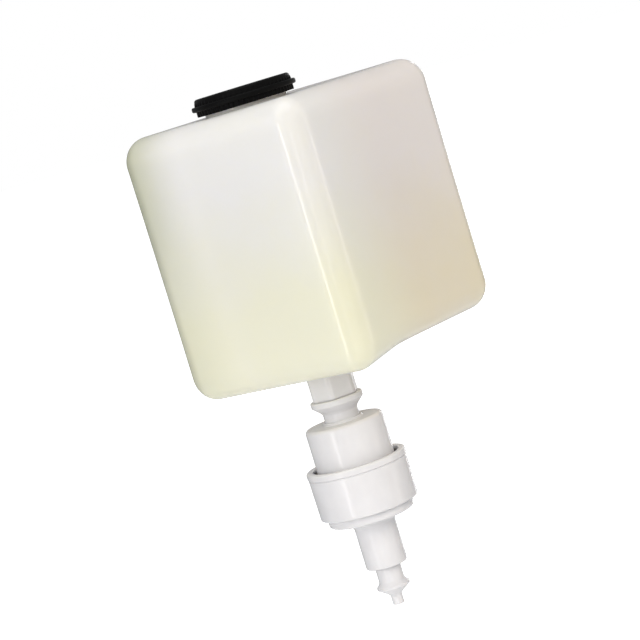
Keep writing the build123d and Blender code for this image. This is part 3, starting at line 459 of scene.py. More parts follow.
@dataclass(frozen=True)
class MouldedPolymer(Finish):
    """Injection-moulded plastic: even colour, fine skin and faint flow clouds."""

    colour: str = "#dfdee0"
    flow: str = "#d4d3d6"
    shine: Shine = Shine.POLISHED
    cloud_mm: float = 9.0
    grain_mm: float = 0.45
    grain_strength: float = 0.06
    glow: float = 0.0
    ior: float = 1.49
    specular: float = 0.5

    def make(self) -> None:
        """Build the moulded plastic."""
        tree, shader, where = self.start({
            "IOR": self.ior, "Specular IOR Level": self.specular, "Subsurface Weight": self.glow,
            "Subsurface Radius": (1.0, 0.9, 0.8), "Subsurface Scale": 0.0015,
        })
        cloud = add_node(
            tree, "ShaderNodeTexNoise", {"Scale": per_mm(self.cloud_mm), "Detail": 4.0, "Roughness": 0.55},
            {"Vector": where},
        )
        self.vary(tree, shader, cloud.outputs["Fac"], colours=(self.colour, self.flow))
        grain = add_node(
            tree, "ShaderNodeTexNoise", {"Scale": per_mm(self.grain_mm), "Detail": 3.0}, {"Vector": where},
        )
        gloss = (self.shine.value - 0.04, self.shine.value + 0.08)
        self.vary(tree, shader, grain.outputs["Fac"], roughness=gloss, relief=self.grain_strength)


@dataclass(frozen=True)
class StainlessSteel(Finish):
    """Stainless wire or ball: grey metal, with drawing lines where it was drawn."""

    colour: str = "#c9c8c4"
    dull: str = "#a9a8a3"
    line_mm: float = 0.25
    roughness: float = 0.24

    def make(self) -> None:
        """Build the stainless steel."""
        tree, shader, where = self.start({"Metallic": 1.0})
        lines = add_node(
            tree, "ShaderNodeTexNoise", {"Scale": per_mm(self.line_mm), "Detail": 2.0}, {"Vector": where},
        )
        gloss = (self.roughness - 0.05, self.roughness + 0.08)
        self.vary(tree, shader, lines.outputs["Fac"], colours=(self.colour, self.dull), roughness=gloss)


@dataclass(frozen=True)
class WovenNylon(Finish):
    """Woven nylon screen: two sets of threads, seen as a fine checked grain."""

    colour: str = "#f1f0ea"
    gap: str = "#b9b8b0"
    thread_mm: float = 0.45  # real threads are about 0.2 mm apart, drawn coarser so that they show

    def make(self) -> None:
        """Build the woven nylon."""
        tree, shader, where = self.start({"Roughness": 0.45})
        scale = {"Scale": per_mm(self.thread_mm) / (2 * math.pi)}
        bands = {
            i: add_node(
                tree, "ShaderNodeTexWave", scale, {"Vector": where}, bands_direction=direction,
            ).outputs["Fac"]
            for i, direction in enumerate("XY")
        }
        weave = add_node(tree, "ShaderNodeMath", {}, bands, operation="MULTIPLY")
        self.vary(tree, shader, weave.outputs[0], colours=(self.gap, self.colour), relief=0.4)


@dataclass(frozen=True)
class FoamSheet(Finish):
    """Expanded polyethylene sheet: soft white with small closed cells."""

    colour: str = "#f2f2ee"
    cell: str = "#dcdcd6"
    cell_mm: float = 0.6

    def make(self) -> None:
        """Build the foam."""
        tree, shader, where = self.start({"Roughness": 0.7})
        cells = add_node(tree, "ShaderNodeTexVoronoi", {"Scale": per_mm(self.cell_mm)}, {"Vector": where})
        self.vary(tree, shader, cells.outputs["Distance"], colours=(self.colour, self.cell), relief=0.35)


NATURAL_POLYETHYLENE = BlownPolyethylene("natural_polyethylene", "tank_polyethylene")
WHITE_POLYPROPYLENE = MouldedPolymer("white_polypropylene", "pump_polypropylene", glow=0.25)
BLACK_POLYPROPYLENE = MouldedPolymer(
    "black_polypropylene", "cap_polypropylene", "#060606", "#090909", Shine.SPARKED,
    grain_mm=0.6, grain_strength=0.12, specular=0.12,
)
SEALING_RUBBER = MouldedPolymer(
    "sealing_rubber", "seal_rubber", "#242322", "#302f2d", Shine.SPARKED, grain_strength=0.2,
)
CLEAR_SILICONE = MouldedPolymer(
    "clear_silicone", "clear_silicone", "#e9ebe8", "#dfe3e0", Shine.SATIN, glow=0.6, ior=1.41,
)
PISTON_POLYETHYLENE = MouldedPolymer(
    "piston_polyethylene", "piston_polyethylene", "#e9ecec", "#dde1e2", Shine.SPARKED, glow=0.4,
)
SPRING_WIRE = StainlessSteel("spring_wire", "spring_steel")
POLISHED_BALL = StainlessSteel("polished_ball", "ball_steel", "#d6d5d2", "#cfcecb", roughness=0.12)
SCREEN_MESH = WovenNylon("screen_mesh", "screen_nylon")
LINER_FOAM = FoamSheet("liner_foam", "liner_foam")


# ---- reading the frame
@dataclass(frozen=True)
class Reach:
    """Where a turned CAD piece lies, in mm: its lowest and highest level and its largest radius."""

    low: float
    high: float
    radius: float

    @classmethod
    @cache
    def of(cls, node: str) -> "Reach":
        """The reach of one CAD node."""
        lowest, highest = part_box(node)
        return cls(lowest.z / MM, highest.z / MM, highest.x / MM)


def place(piece: bpy.types.Object, body: str, finish: Finish, *stands_for: str) -> None:
    """Dress a piece, fix it to its body and let it stand for CAD nodes.

    Args:
        piece: The finished piece.
        body: CAD body that it rides on.
        finish: Its finish.
        *stands_for: CAD nodes that it replaces.
    """
    finish.dress(piece)
    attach(piece, body)
    if stands_for:
        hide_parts(*stands_for)
    LOG.info("%s: %d faces, rides on %s", piece.name, len(piece.data.polygons), body)


def join_in(mesh: Mesh, *others: Mesh) -> Mesh:
    """Put other meshes into this one and free them."""
    for other in others:
        carrier = bpy.data.meshes.new("carrier")
        other.to_mesh(carrier)
        other.free()
        mesh.from_mesh(carrier)
        bpy.data.meshes.remove(carrier)
    return mesh


def helix(radius: float, lead: float, start_z: float, start_deg: float, sweep_deg: float) -> list[Vector]:
    """Points along a helix about the Z axis.

    Args:
        radius: Radius in mm.
        lead: Rise in one turn, in mm.
        start_z: Height of its start, in mm.
        start_deg: Angle of its start.
        sweep_deg: How far round it goes.

    Returns:
        Points in mm, four degrees apart.
    """
    steps = math.ceil(sweep_deg / 4)
    points = []
    for k in range(steps + 1):
        turned = sweep_deg * k / steps
        angle = math.radians(start_deg + turned)
        points.append(
            Vector((radius * math.cos(angle), radius * math.sin(angle), start_z + lead * turned / 360))
        )
    return points


def thread_ridges(
    radius: float, lead: float, start_z: float, sweep_deg: float, bead: float, starts: Sequence[float]
) -> list[Mesh]:
    """Round thread ridges from each start angle; bead is their radius, the rest is as for helix."""
    return [sweep_ridge(helix(radius, lead, start_z, start, sweep_deg), bead) for start in starts]


# ---- tank
@dataclass(frozen=True)
class FillerTank:
    """The blow-moulded tank with its filler neck and the pad round its outlet."""

    wall: float = 1.4
    corner_radius: float = 11.0
    crease_deg: float = 40.0
    ramp_run: float = 35.0
    ramp_fade: float = 40.0
    ramp_slope: float = 0.134
    ramp_blend: float = 5.0
    flat_cells: int = 34
    corner_cells: int = 9
    face_sag: float = 0.40
    ripple: float = 0.10
    ripple_span: float = 26.0
    neck_radius: float = 18.0
    neck_wall: float = 1.6
    neck_rise: float = 6.2
    neck_sunk: float = 0.9
    collar_width: float = 1.6
    collar_sunk: float = 0.45
    pad_radius: float = 12.5
    pad_drop: float = 1.8
    outlet_radius: float = 8.7
    bore_stock: float = 1.0
    bore_cut: tuple[float, float] = (4.0, 9.0)
    hole_cut: float = 6.0
    thread_lead: float = 6.0
    thread_rise: float = 1.9
    thread_sweep: float = 200.0
    thread_bead: float = 0.55

    @cache
    def corners(self) -> tuple[Vector, Vector]:
        """Lowest and highest corner of the block without its ramp and neck, in mm."""
        lowest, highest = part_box("tank_shell")
        low, high = lowest / MM, highest / MM
        return Vector((low.x, low.y, 0)), Vector((high.x, high.y, high.z - self.neck_rise))

    def ramp(self, y: float, z: float) -> float:
        """How far the front of the underside slopes down at a point, in mm."""
        low, _ = self.corners()
        run = low.y + self.ramp_run - y
        drop = self.ramp_slope * (math.sqrt(run * run + self.ramp_blend**2) + run) / 2
        return drop * max(0.0, min(1.0, 1 - z / self.ramp_fade))

    def skin(self, inset: float, ripple: bool) -> Mesh:
        """Rounded block, closed.

        Args:
            inset: How far inside the outer surface, in mm.
            ripple: Whether the faces sink and ripple as a blown wall does.

        Returns:
            The block's mesh in metres.
        """
        low, high = self.corners()
        centre, half = (low + high) / 2, (high - low) / 2
        corner = self.corner_radius - inset
        core = half - Vector((1, 1, 1)) * self.corner_radius
        flat, arc = self.flat_cells, self.corner_cells
        stops = [math.tan(math.pi / 4 * k / arc) for k in range(arc, 0, -1)]

        def along(size: float) -> list[float]:
            """Stops along one edge, finer round the corners."""
            middle = [size * (2 * k / flat - 1) for k in range(flat + 1)]
            return [-size - corner * t for t in stops] + middle + [size + corner * t for t in reversed(stops)]

        def settle(spot: Vector) -> Vector:
            """Move a point of the sharp block onto the rounded, sunken and ramped one, in mm."""
            inner = Vector([max(-core[i], min(core[i], spot[i])) for i in range(3)])
            out = (spot - inner).normalized()
            point = inner + out * corner
            if ripple:
                middle = 1.0
                for i in range(3):
                    middle *= 1 - (1 - abs(out[i])) * (point[i] / half[i]) ** 2
                wave = noise.noise(point / self.ripple_span + Vector((7.3, 1.9, 4.1)))
                point -= out * (self.face_sag * max(0.0, middle) + self.ripple * (0.5 + 0.5 * wave))
            point += centre
            point.z -= self.ramp(point.y, point.z)
            return point

        mesh = bmesh.new()
        rows = [along(core[i]) for i in range(3)]
        for axis in range(3):
            a, b = (axis + 1) % 3, (axis + 2) % 3
            for side in (-1, 1):
                grid = []
                for u in rows[a]:
                    line = []
                    for v in rows[b]:
                        spot = Vector((0, 0, 0))
                        spot[axis] = side * (core[axis] + corner)
                        spot[a], spot[b] = u, v
                        line.append(mesh.verts.new(settle(spot) * MM))
                    grid.append(line)
                for i in range(len(grid) - 1):
                    for j in range(len(grid[0]) - 1):
                        mesh.faces.new((grid[i][j], grid[i + 1][j], grid[i + 1][j + 1], grid[i][j + 1]))
        bmesh.ops.remove_doubles(mesh, verts=mesh.verts, dist=2e-6)
        bmesh.ops.recalc_face_normals(mesh, faces=mesh.faces)
        return mesh

    def shell(self) -> bpy.types.Object:
        """The hollow block with its neck, pad and holes."""
        _, high = self.corners()
        top = high.z
        inner = self.skin(self.wall, False)
        bmesh.ops.reverse_faces(inner, faces=inner.faces)
        shell = to_object("tank_body", join_in(self.skin(0.0, True), inner), self.crease_deg)
        neck_top, collar = top + self.neck_rise, self.neck_radius + self.collar_width
        opening = self.neck_radius - self.neck_wall
        neck = rounded(
            (opening - self.bore_stock, top - self.neck_sunk, 0),
            (collar, top - self.neck_sunk, 0),
            (collar, top - self.collar_sunk, 0),
            (self.neck_radius, top - self.collar_sunk, 1.5),
            (self.neck_radius, neck_top, 0.45),
            (opening - self.bore_stock, neck_top, 0),
        )
        pad = rounded(
            (0.01, self.wall, 0), (self.pad_radius, self.wall, 0.3),
            (self.pad_radius, -self.pad_drop, 0.35), (0.01, -self.pad_drop, 0),
        )
        bore, hole = (
            [(0.0, low_end), (radius, low_end), (radius, high_end), (0.0, high_end)]
            for radius, low_end, high_end in (
                (opening, top - self.bore_cut[0], top + self.bore_cut[1]),
                (self.outlet_radius, -self.hole_cut, self.hole_cut),
            )
        )
        for name, outline, operation in (
            ("neck", neck, "UNION"), ("pad", pad, "UNION"),
            ("bore", bore, "DIFFERENCE"), ("hole", hole, "DIFFERENCE"),
        ):
            combine(shell, to_object(name, spin(outline, 144)), operation)
        return shell

    def thread(self) -> bpy.types.Object:
        """The two ridges of the filler neck's thread."""
        _, high = self.corners()
        ridges = thread_ridges(
            self.neck_radius + 0.4, self.thread_lead, high.z + self.thread_rise, self.thread_sweep,
            self.thread_bead, (0, 180),
        )
        return to_object("neck_thread", join_in(*ridges))

    def build(self) -> None:
        """Build the tank."""
        shell = self.shell()
        shell.data.shade_smooth()
        shell.data.set_sharp_from_angle(angle=math.radians(self.crease_deg))
        place(shell, "tank", NATURAL_POLYETHYLENE, "tank_shell")
        place(self.thread(), "tank", NATURAL_POLYETHYLENE)


# ---- filler cap
@dataclass(frozen=True)
class FillerCap:
    """The black screw cap with its ribbed skirt, flange and dished crown."""

    wall: float = 1.4
    radius: float = 20.9
    flange_thickness: float = 2.2
    above_flange: float = 3.0
    crown_fillet: float = 1.3
    crown_thickness: float = 1.5
    dish_inset: float = 3.6
    dish_depth: float = 0.4
    vent_radius: float = 1.2
    ribs: int = 60
    rib_height: float = 0.32
    rib_margin: float = 0.2
    rib_fade: float = 0.5
    thread_lead: float = 6.0
    thread_low: float = 0.9
    thread_sweep: float = 150.0
    thread_bead: float = 0.5

    def ribbed(self, radius: float, height: float, angle: float) -> float:
        """The skirt's radius with its ribs."""
        reach = Reach.of("filler_cap")
        plain_from = reach.high - self.crown_fillet - self.rib_margin
        if abs(radius - self.radius) > self.rib_margin or height > plain_from:
            return radius
        fade = min(1.0, (plain_from - height) / self.rib_fade)
        wave = max(0.0, math.cos(self.ribs * angle))
        return radius + self.rib_height * fade * wave**2

    def build(self) -> None:
        """Build the cap with its inner thread."""
        reach = Reach.of("filler_cap")
        top, foot, flange = reach.high, reach.low, reach.radius
        under = top - self.crown_thickness
        shelf = top - self.above_flange
        dish = self.radius - self.dish_inset
        outline = rounded(
            (self.vent_radius, under, 0),
            (self.radius - self.wall, under, 0.8),
            (self.radius - self.wall, foot, 0.25),
            (self.radius, foot, 0.25),
            (self.radius, shelf - self.flange_thickness, 0.3),
            (flange, shelf - self.flange_thickness, 0.75),
            (flange, shelf, 0.75),
            (self.radius, shelf, 0.5),
            (self.radius, top, self.crown_fillet),
            (dish, top, 0.5),
            (dish - 0.7, top - self.dish_depth, 0.5),
            (self.vent_radius, top - self.dish_depth, 0.2),
        )
        cap = spin(refine(outline, 0.8), self.ribs * 8, self.ribbed)
        ridges = thread_ridges(
            self.radius - self.wall - 0.4, self.thread_lead, foot + self.thread_low, self.thread_sweep,
            self.thread_bead, (90, 270),
        )
        place(to_object("cap_shell", join_in(cap, *ridges), 42), "cap", BLACK_POLYPROPYLENE, "filler_cap")


def refine(outline: Outline, step: float) -> Outline:
    """Add points along a closed outline's long straight runs, no further apart than step."""
    points: Outline = []
    for i, (x, z) in enumerate(outline):
        nx, nz = outline[(i + 1) % len(outline)]
        count = max(1, math.ceil(math.hypot(nx - x, nz - z) / step))
        points += [(x + (nx - x) * k / count, z + (nz - z) * k / count) for k in range(count)]
    return points


# ---- outlet and pump neck
@dataclass(frozen=True)
class OutletStem:
    """The six-sided outlet fitting under the tank, with its threaded spigot inside."""

    across_flats: float = 19.0
    corner_round: float = 0.55
    edge_chamfer: float = 0.45
    spigot_radius: float = 8.0
    bore_radius: float = 4.4
    socket_radius: float = 6.3
    socket_top: float = -6.105
    seat_level: float = -1.8
    strainer_recess: float = 6.25
    recess_depth: float = 4.0
    thread_pitch: float = 2.0
    thread_turns: float = 3.05
    thread_start: float = 2.4
    thread_bead: float = 0.45

    def hexagon(self, radius: float, height: float, angle: float) -> float:
        """The stem's radius with six flats and softened corners."""
        if height > self.seat_level + 0.01 or radius < self.spigot_radius + 0.5:
            return radius
        off_flat = (angle % (math.pi / 3)) - math.pi / 6
        flat = radius / math.cos(off_flat)
        corner = radius / math.cos(math.pi / 6) - self.corner_round
        blend = 0.25
        mix = max(blend - abs(flat - corner), 0.0) / blend
        return min(flat, corner) - mix * mix * blend / 4

    def build(self) -> None:
        """Build the stem and its thread."""
        reach = Reach.of("outlet_fitting")
        low, high, seat = reach.low, reach.high, self.seat_level
        half = self.across_flats / 2
        outline = refine(
            rounded(
                (self.bore_radius, high - self.recess_depth, 0),
                (self.strainer_recess, high - self.recess_depth, 0),
                (self.strainer_recess, high, 0),
                (self.spigot_radius, high, 0.6),
                (self.spigot_radius, seat, 0.2),
                (half - self.edge_chamfer, seat, 0.2),
                (half, seat - self.edge_chamfer, 0.3),
                (half, low + self.edge_chamfer, 0.3),
                (half - self.edge_chamfer, low, 0.2),
                (self.socket_radius, low, 0.3),
                (self.socket_radius, self.socket_top, 0),
                (self.bore_radius, self.socket_top, 0),
            ),
            1.2,
        )
        crest = self.spigot_radius + 0.1
        path = helix(crest, self.thread_pitch, self.thread_start, 0, 360 * self.thread_turns)
        thread = sweep_ridge(path, self.thread_bead, 8)
        stem = join_in(spin(outline, 360, self.hexagon), thread)
        place(to_object("outlet_stem", stem, 34), "tank", WHITE_POLYPROPYLENE, "outlet_fitting")


@dataclass(frozen=True)
class PumpNeck:
    """Spigot, hanging flange, cone and neck in one turned piece, which carries the air cylinder."""

    flange_radius: float = 11.5
    flange_thickness: float = 2.4
    cone_height: float = 3.9
    neck_radius: float = 7.65
    spigot_radius: float = 6.25
    bore_radius: float = 4.6
    tail_radius: float = 6.2
    groove_level: float = -10.305
    groove_half: float = 0.5
    groove_depth: float = 1.0

    def build(self) -> None:
        """Build the neck."""
        reach = Reach.of("pump_neck")
        hex_foot = Reach.of("outlet_fitting").low
        cylinder = Reach.of("air_cylinder")
        flange_foot = hex_foot - self.flange_thickness
        cone_foot = flange_foot - self.cone_height
        shoulder = cylinder.high - 1.0
        groove_top, groove_foot = self.groove_level + self.groove_half, self.groove_level - self.groove_half
        groove_floor = self.spigot_radius - self.groove_depth
        outline = rounded(
            (self.bore_radius, reach.high, 0.2),
            (self.spigot_radius, reach.high, 0.5),
            (self.spigot_radius, groove_top, 0),
            (groove_floor, groove_top, 0),
            (groove_floor, groove_foot, 0),
            (self.spigot_radius, groove_foot, 0),
            (self.spigot_radius, hex_foot, 0),
            (self.flange_radius, hex_foot, 0.7),
            (self.flange_radius, flange_foot, 0.6),
            (self.neck_radius + 0.75, cone_foot + 1.1, 1.0),
            (self.neck_radius, cone_foot, 1.2),
            (self.neck_radius, shoulder, 0.1),
            (self.tail_radius, shoulder, 0),
            (self.tail_radius, reach.low, 0),
            (self.bore_radius, reach.low, 0),
        )
        place(to_object("hanging_neck", spin(outline, 160)), "tank", WHITE_POLYPROPYLENE, "pump_neck")


@dataclass(frozen=True)
class AirCylinder:
    """The fixed cylinder that the plunger's cup slides over."""

    wall: float = 1.3
    roof: float = 1.8
    shoulder_round: float = 1.7
    root_radius: float = 8.65
    root_height: float = 1.0
    socket_gap: float = 0.05
    hole_radius: float = 6.25

    def build(self) -> None:
        """Build the cylinder."""
        reach = Reach.of("air_cylinder")
        top = reach.high - self.root_height
        socket = PumpNeck.neck_radius + self.socket_gap
        outline = rounded(
            (self.hole_radius, top, 0),
            (socket, top, 0),
            (socket, reach.high, 0.1),
            (self.root_radius, reach.high, 0.5),
            (self.root_radius + 0.1, top, 0.5),
            (reach.radius, top, self.shoulder_round),
            (reach.radius, reach.low, 0.3),
            (reach.radius - self.wall, reach.low, 0.3),
            (reach.radius - self.wall, top - self.roof, 0.8),
            (self.hole_radius, top - self.roof, 0),
        )
        piece = to_object("air_cylinder_shell", spin(outline, 176))
        place(piece, "tank", WHITE_POLYPROPYLENE, "air_cylinder")


# ---- plunger
@dataclass(frozen=True)
class PlungerCup:
    """The open cup with its rolled rim and the line under its lip."""

    lip_height: float = 2.9
    groove: float = 0.35
    body_inset: float = 0.25
    foot_inset: float = 0.5
    foot_round: float = 1.0
    wall: float = 1.5
    floor: float = 1.8
    rim_width: float = 3.0
    rim_thickness: float = 2.2
    rim_round: float = 0.95
    hub_radius: float = 9.15

    def build(self) -> None:
        """Build the cup."""
        reach = Reach.of("actuator_skirt")
        rim, foot, radius = reach.high, reach.low, reach.radius
        line = rim - self.lip_height
        body = radius - self.body_inset
        foot_radius, mouth = radius - self.foot_inset, radius - self.rim_width
        outline = rounded(
            (self.hub_radius, foot, 0),
            (foot_radius, foot, self.foot_round),
            (body, line - 0.55, 0.3),
            (body - self.groove, line - 0.3, 0.12),
            (body - self.groove, line, 0.12),
            (radius, line + 0.2, 0.25),
            (radius, rim, self.rim_round),
            (mouth, rim, 0.7),
            (mouth, rim - self.rim_thickness + 0.8, 0.4),
            (radius - self.wall - 0.65, rim - self.rim_thickness - 0.8, 0.6),
            (foot_radius - self.wall, foot + self.floor, 1.4),
            (self.hub_radius, foot + self.floor, 0),
        )
        place(to_object("plunger_cup", spin(outline, 192)), "plunger", WHITE_POLYPROPYLENE, "actuator_skirt")


@dataclass(frozen=True)
class PushRing:
    """The ring under the cup that a lever pushes up."""

    foot_round: float = 1.5
    bore_radius: float = 9.15

    def build(self) -> None:
        """Build the ring."""
        reach = Reach.of("push_ring")
        outline = rounded(
            (self.bore_radius, reach.low, 0),
            (reach.radius, reach.low, self.foot_round),
            (reach.radius, reach.high - 0.25, 0.1),
            (reach.radius - 0.35, reach.high - 0.02, 0.1),
            (self.bore_radius, reach.high - 0.02, 0),
        )
        place(to_object("push_ring_body", spin(outline, 176)), "plunger", WHITE_POLYPROPYLENE, "push_ring")


@dataclass(frozen=True)
class NozzleSleeve:
    """The tube under the push ring that holds the foaming screens."""

    radius: float = 9.1
    wall: float = 1.5
    root_radius: float = 11.3
    root_height: float = 3.4
    foot_round: float = 0.9
    flange_thickness: float = 1.6
    end_thickness: float = 1.4
    nozzle_hole: float = 5.65

    def build(self) -> None:
        """Build the sleeve."""
        reach = Reach.of("nozzle_sleeve")
        ring = Reach.of("push_ring").low
        floor = reach.high - self.flange_thickness
        bore = self.radius - self.wall
        outline = rounded(
            (bore, reach.high, 0.3),
            (reach.radius, reach.high, 0.3),
            (reach.radius, floor, 0),
            (self.radius, floor, 0),
            (self.radius, ring, 0),
            (self.root_radius, ring, 0.15),
            (self.radius + 0.75, ring - self.root_height * 0.5, 2.2),
            (self.radius, ring - self.root_height, 2.5),
            (self.radius, reach.low, self.foot_round),
            (self.nozzle_hole, reach.low, 0.2),
            (self.nozzle_hole, reach.low + self.end_thickness, 0),
            (bore, reach.low + self.end_thickness, 0),
        )
        place(to_object("sleeve_tube", spin(outline, 144)), "plunger", WHITE_POLYPROPYLENE, "nozzle_sleeve")


@dataclass(frozen=True)
class Nozzle:
    """Stem, umbrella flare, cone and tip."""

    stem_radius: float = 5.6
    stem_length: float = 6.3
    flare_radius: float = 7.25
    flare_height: float = 2.6
    rim_thickness: float = 0.9
    cone_height: float = 3.6
    tip_radius: float = 2.5
    tip_bore: float = 1.5
    bore_radius: float = 3.9
    tip_round: float = 0.6

    def build(self) -> None:
        """Build the nozzle."""
        reach = Reach.of("nozzle_tip")
        sleeve_foot = Reach.of("nozzle_sleeve").low
        ledge = sleeve_foot + NozzleSleeve.end_thickness
        flare = sleeve_foot - self.stem_length
        rim = flare - self.flare_height
        cone = rim - self.rim_thickness
        tip = cone - self.cone_height
        trumpet = [
            (
                self.stem_radius + (self.flare_radius - self.stem_radius) * t**1.9,
                flare + (rim - flare) * t,
                0.0,
            )
            for t in (k / 9 for k in range(10))
        ]
        outline = rounded(
            (self.bore_radius, reach.high, 0.2),
            (reach.radius, reach.high, 0.2),
            (reach.radius, ledge, 0),
            (self.stem_radius, ledge, 0),
            *trumpet,
            (self.flare_radius, cone, 0.3),
            (self.tip_radius + 0.5, tip + 0.4, 0.8),
            (self.tip_radius, tip - 0.4, 0.8),
            (self.tip_radius, reach.low, self.tip_round),
            (self.tip_bore, reach.low, 0.25),
            (self.tip_bore, tip + 1.0, 0),
            (self.bore_radius, rim, 0),
        )
        place(to_object("nozzle_body", spin(outline, 128), 36), "plunger", WHITE_POLYPROPYLENE, "nozzle_tip")


# ---- springs
@dataclass(frozen=True)
class CoilSpring:
    """A wire spring with closed ends."""

    node: str
    body: str
    joint: str
    travel: float
    mean_radius: float
    wire_radius: float
    open_turns: float
    closed_turns: float = 1.0
    held_at_top: bool = True

    def path(self, low: float, high: float) -> list[Vector]:
        """The wire's centre line between two heights.

        Args:
            low: Height of the spring's foot, in mm.
            high: Height of its top, in mm.

        Returns:
            Points in mm, four degrees apart.
        """
        closed_rise = 2.1 * self.wire_radius * self.closed_turns
        open_rise = high - low - 2 * self.wire_radius - 2 * closed_rise
        sections = (
            (self.closed_turns, closed_rise), (self.open_turns, open_rise), (self.closed_turns, closed_rise),
        )
        level, turned = low + self.wire_radius, 0.0
        points: list[Vector] = []
        for turns, rise in sections:
            run = helix(self.mean_radius, rise / turns, level, turned, 360 * turns)
            points += run[1:] if points else run
            level, turned = level + rise, turned + 360 * turns
        return points

    def build(self) -> None:
        """Wind the spring."""
        reach = Reach.of(self.node)
        wire = sweep_ridge(self.path(reach.low, reach.high), self.wire_radius, 12)
        piece = to_object(f"{self.node}_wire", wire, 50)
        place(piece, self.body, SPRING_WIRE, self.node)
        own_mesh(piece)


# ---- pieces carried over
@dataclass(frozen=True)
class CarriedOver:
    """CAD pieces shown as they are, each with its own finish."""

    def finishes(self) -> dict[Finish, tuple[str, ...]]:
        """The CAD nodes that each finish is for."""
        return {
            LINER_FOAM: ("cap_liner",),
            SEALING_RUBBER: ("vent_valve", "outlet_washer", "neck_oring"),
            WHITE_POLYPROPYLENE: (
                "outlet_nut", "strainer", "stop_ring", "inlet_seat", "inlet_cage", "piston_rod",
                "mixing_chamber", "screen_cartridge",
            ),
            POLISHED_BALL: ("inlet_ball", "outlet_ball"),
            PISTON_POLYETHYLENE: ("liquid_piston", "air_piston"),
            SCREEN_MESH: ("upper_screen", "lower_screen"),
            CLEAR_SILICONE: ("drip_valve",),
        }

    def build(self) -> None:
        """Dress each carried-over node through its material slot."""
        for finish, nodes in self.finishes().items():
            for node in nodes:
                piece = frame["nodes"][node]
                if not piece.material_slots:
                    piece.data.materials.append(None)
                for slot in piece.material_slots:
                    slot.material = finish.material()
                LOG.info("%s: carried over in %s", node, finish.name)


# ---- studio
@dataclass(frozen=True)
class Softbox:
    """One area light, aimed at the object."""

    name: str
    azimuth: float
    elevation: float
    distance: float
    width: float
    height: float
    watts: float
    tint: str = "#ffffff"
    reflected: bool = True

    def build(self, aim: Vector) -> None:
        """Hang the light.

        Args:
            aim: Point it faces, in metres.
        """
        a, e = math.radians(self.azimuth), math.radians(self.elevation)
        toward = Vector((math.sin(a) * math.cos(e), -math.cos(a) * math.cos(e), math.sin(e)))
        data = bpy.data.lights.new(self.name, "AREA")
        data.shape = "RECTANGLE"
        data.size, data.size_y = self.width, self.height
        data.energy = self.watts
        data.color = linear(self.tint)[:3]
        lamp = bpy.data.objects.new(self.name, data)
        bpy.context.scene.collection.objects.link(lamp)
        lamp.location = aim + toward * self.distance
        lamp.rotation_mode = "QUATERNION"
        lamp.rotation_quaternion = (-toward).to_track_quat("-Z", "Y")
        lamp.visible_glossy = self.reflected


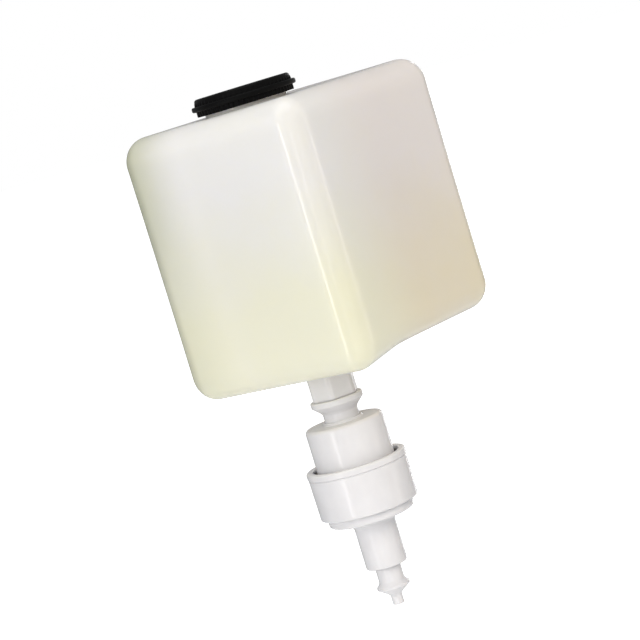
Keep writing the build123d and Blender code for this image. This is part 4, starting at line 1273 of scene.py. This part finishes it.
@dataclass(frozen=True)
class Studio:
    """Pale floor, soft lights, bright surroundings and the camera."""

    floor_level: float = -600.0
    floor_size: float = 60000.0
    floor_glow: float = 0.9
    floor_tint: str = "#f7f7f7"
    heading: float = 37.81
    tilt: float = 5.895
    roll: float = 17.0
    distance: float = 1034.9
    lens: float = 140.7
    aim: tuple[float, float, float] = (3.098, -28.966, 19.997)
    light_aim: tuple[float, float, float] = (0.0, 10.0, 30.0)
    surround_tint: str = "#f2f4f6"
    surround: float = 0.40
    mirrored_surround: float = 0.34
    lights: tuple[Softbox, ...] = (
        Softbox("key", 6, 13, 1.4, 0.7, 0.7, 7.7, "#fffefb", reflected=False),
        Softbox("left_strip", -4, -5, 1.4, 0.10, 0.9, 2.3),
        Softbox("near_camera", 34, -6, 1.5, 0.035, 0.9, 0.6),
        Softbox("right_strip", 117, -6, 1.3, 0.05, 0.9, 0.9, "#fff6ea"),
        Softbox("right_fill", 68, 32, 1.4, 0.8, 0.8, 10.8, "#fff8ee", reflected=False),
        Softbox("overhead", 40, 80, 1.2, 0.9, 0.9, 3.2),
        Softbox("back_fill", 222, 24, 1.4, 0.9, 0.9, 11.0, reflected=False),
        Softbox("back_strip", 196, 0, 1.3, 0.10, 0.9, 1.2),
    )

    def axes(self) -> tuple[Vector, Vector, Vector, Vector]:
        """Right, level ahead, forward and up of the view before it is rolled."""
        h, t = math.radians(self.heading), math.radians(self.tilt)
        right = Vector((math.cos(h), math.sin(h), 0))
        level = Vector((-math.sin(h), math.cos(h), 0))
        forward = level * math.cos(t) - Vector((0, 0, 1)) * math.sin(t)
        up = level * math.sin(t) + Vector((0, 0, 1)) * math.cos(t)
        return right, level, forward, up

    def camera(self) -> None:
        """Set the camera at the view's angle."""
        right, level, forward, up = self.axes()
        target = right * self.aim[0] + level * self.aim[1] + Vector((0, 0, self.aim[2]))
        turn = math.radians(self.roll)
        across = right * math.cos(turn) - up * math.sin(turn)
        upright = right * math.sin(turn) + up * math.cos(turn)
        data = bpy.data.cameras.new("view")
        data.lens, data.sensor_width = self.lens, 36.0
        data.clip_start, data.clip_end = 0.05, 60.0
        camera = bpy.data.objects.new("view", data)
        bpy.context.scene.collection.objects.link(camera)
        pose = Matrix((across, upright, -forward)).transposed().to_4x4()
        pose.translation = (target - forward * self.distance) * MM
        camera.matrix_world = pose
        bpy.context.scene.camera = camera

    def floor(self) -> None:
        """Lay a plain white floor well below the object."""
        mesh = bmesh.new()
        bmesh.ops.create_grid(mesh, x_segments=8, y_segments=8, size=self.floor_size * MM / 2)
        floor = to_object("floor", mesh)
        floor.location.z = self.floor_level * MM
        material = bpy.data.materials.new("white_floor")
        material.use_nodes = True
        tree = material.node_tree
        shader = tree.nodes["Principled BSDF"]
        shader.inputs["Base Color"].default_value = linear(self.floor_tint)
        shader.inputs["Roughness"].default_value = 0.9
        shader.inputs["Emission Color"].default_value = linear("#ffffff")
        # the floor looks white but lights the object only as plain white board does
        seen = add_node(tree, "ShaderNodeLightPath").outputs["Is Camera Ray"]
        glow = add_node(tree, "ShaderNodeMath", {1: self.floor_glow}, {0: seen}, operation="MULTIPLY")
        tree.links.new(glow.outputs[0], shader.inputs["Emission Strength"])
        floor.data.materials.append(material)

    def world(self) -> None:
        """Bright even surroundings, dim in reflections and plain white where the camera sees them."""
        world = bpy.data.worlds.new("studio")
        bpy.context.scene.world = world
        world.use_nodes = True
        tree = world.node_tree
        tree.nodes.clear()
        rays = add_node(tree, "ShaderNodeLightPath").outputs
        seen = rays["Is Camera Ray"]
        dimmed = add_node(
            tree, "ShaderNodeMapRange", {"To Min": self.surround, "To Max": self.mirrored_surround},
            {"Value": rays["Is Glossy Ray"]},
        )
        soft = add_node(
            tree, "ShaderNodeBackground", {"Color": linear(self.surround_tint)},
            {"Strength": dimmed.outputs[0]},
        )
        white = add_node(tree, "ShaderNodeBackground", {"Color": linear("#ffffff"), "Strength": 1.0})
        either = add_node(
            tree, "ShaderNodeMixShader", {}, {0: seen, 1: soft.outputs[0], 2: white.outputs[0]},
        )
        add_node(tree, "ShaderNodeOutputWorld", links={"Surface": either.outputs[0]})

    def build(self) -> None:
        """Set up the studio."""
        bpy.context.scene.view_settings.view_transform = "Standard"
        self.floor()
        self.world()
        for light in self.lights:
            light.build(Vector(self.light_aim) * MM)
        self.camera()
        LOG.info("studio ready with %d lights", len(self.lights))


def main() -> None:
    """Build every sub-assembly, then the studio."""
    logging.basicConfig(level=logging.INFO, format="%(message)s")
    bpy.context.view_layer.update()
    for assembly in (
        FillerTank(), FillerCap(), OutletStem(), PumpNeck(), AirCylinder(),
        PlungerCup(), PushRing(), NozzleSleeve(), Nozzle(),
        CoilSpring("return_spring", "tank", "pump_stroke", 12.0, 10.4, 0.5, 3.5),
        CoilSpring("outlet_spring", "plunger", "outlet_ball_drop", 1.2, 1.35, 0.2, 4.0, held_at_top=False),
        CarriedOver(), Studio(),
    ):
        assembly.build()


if __name__ == "__main__":
    main()
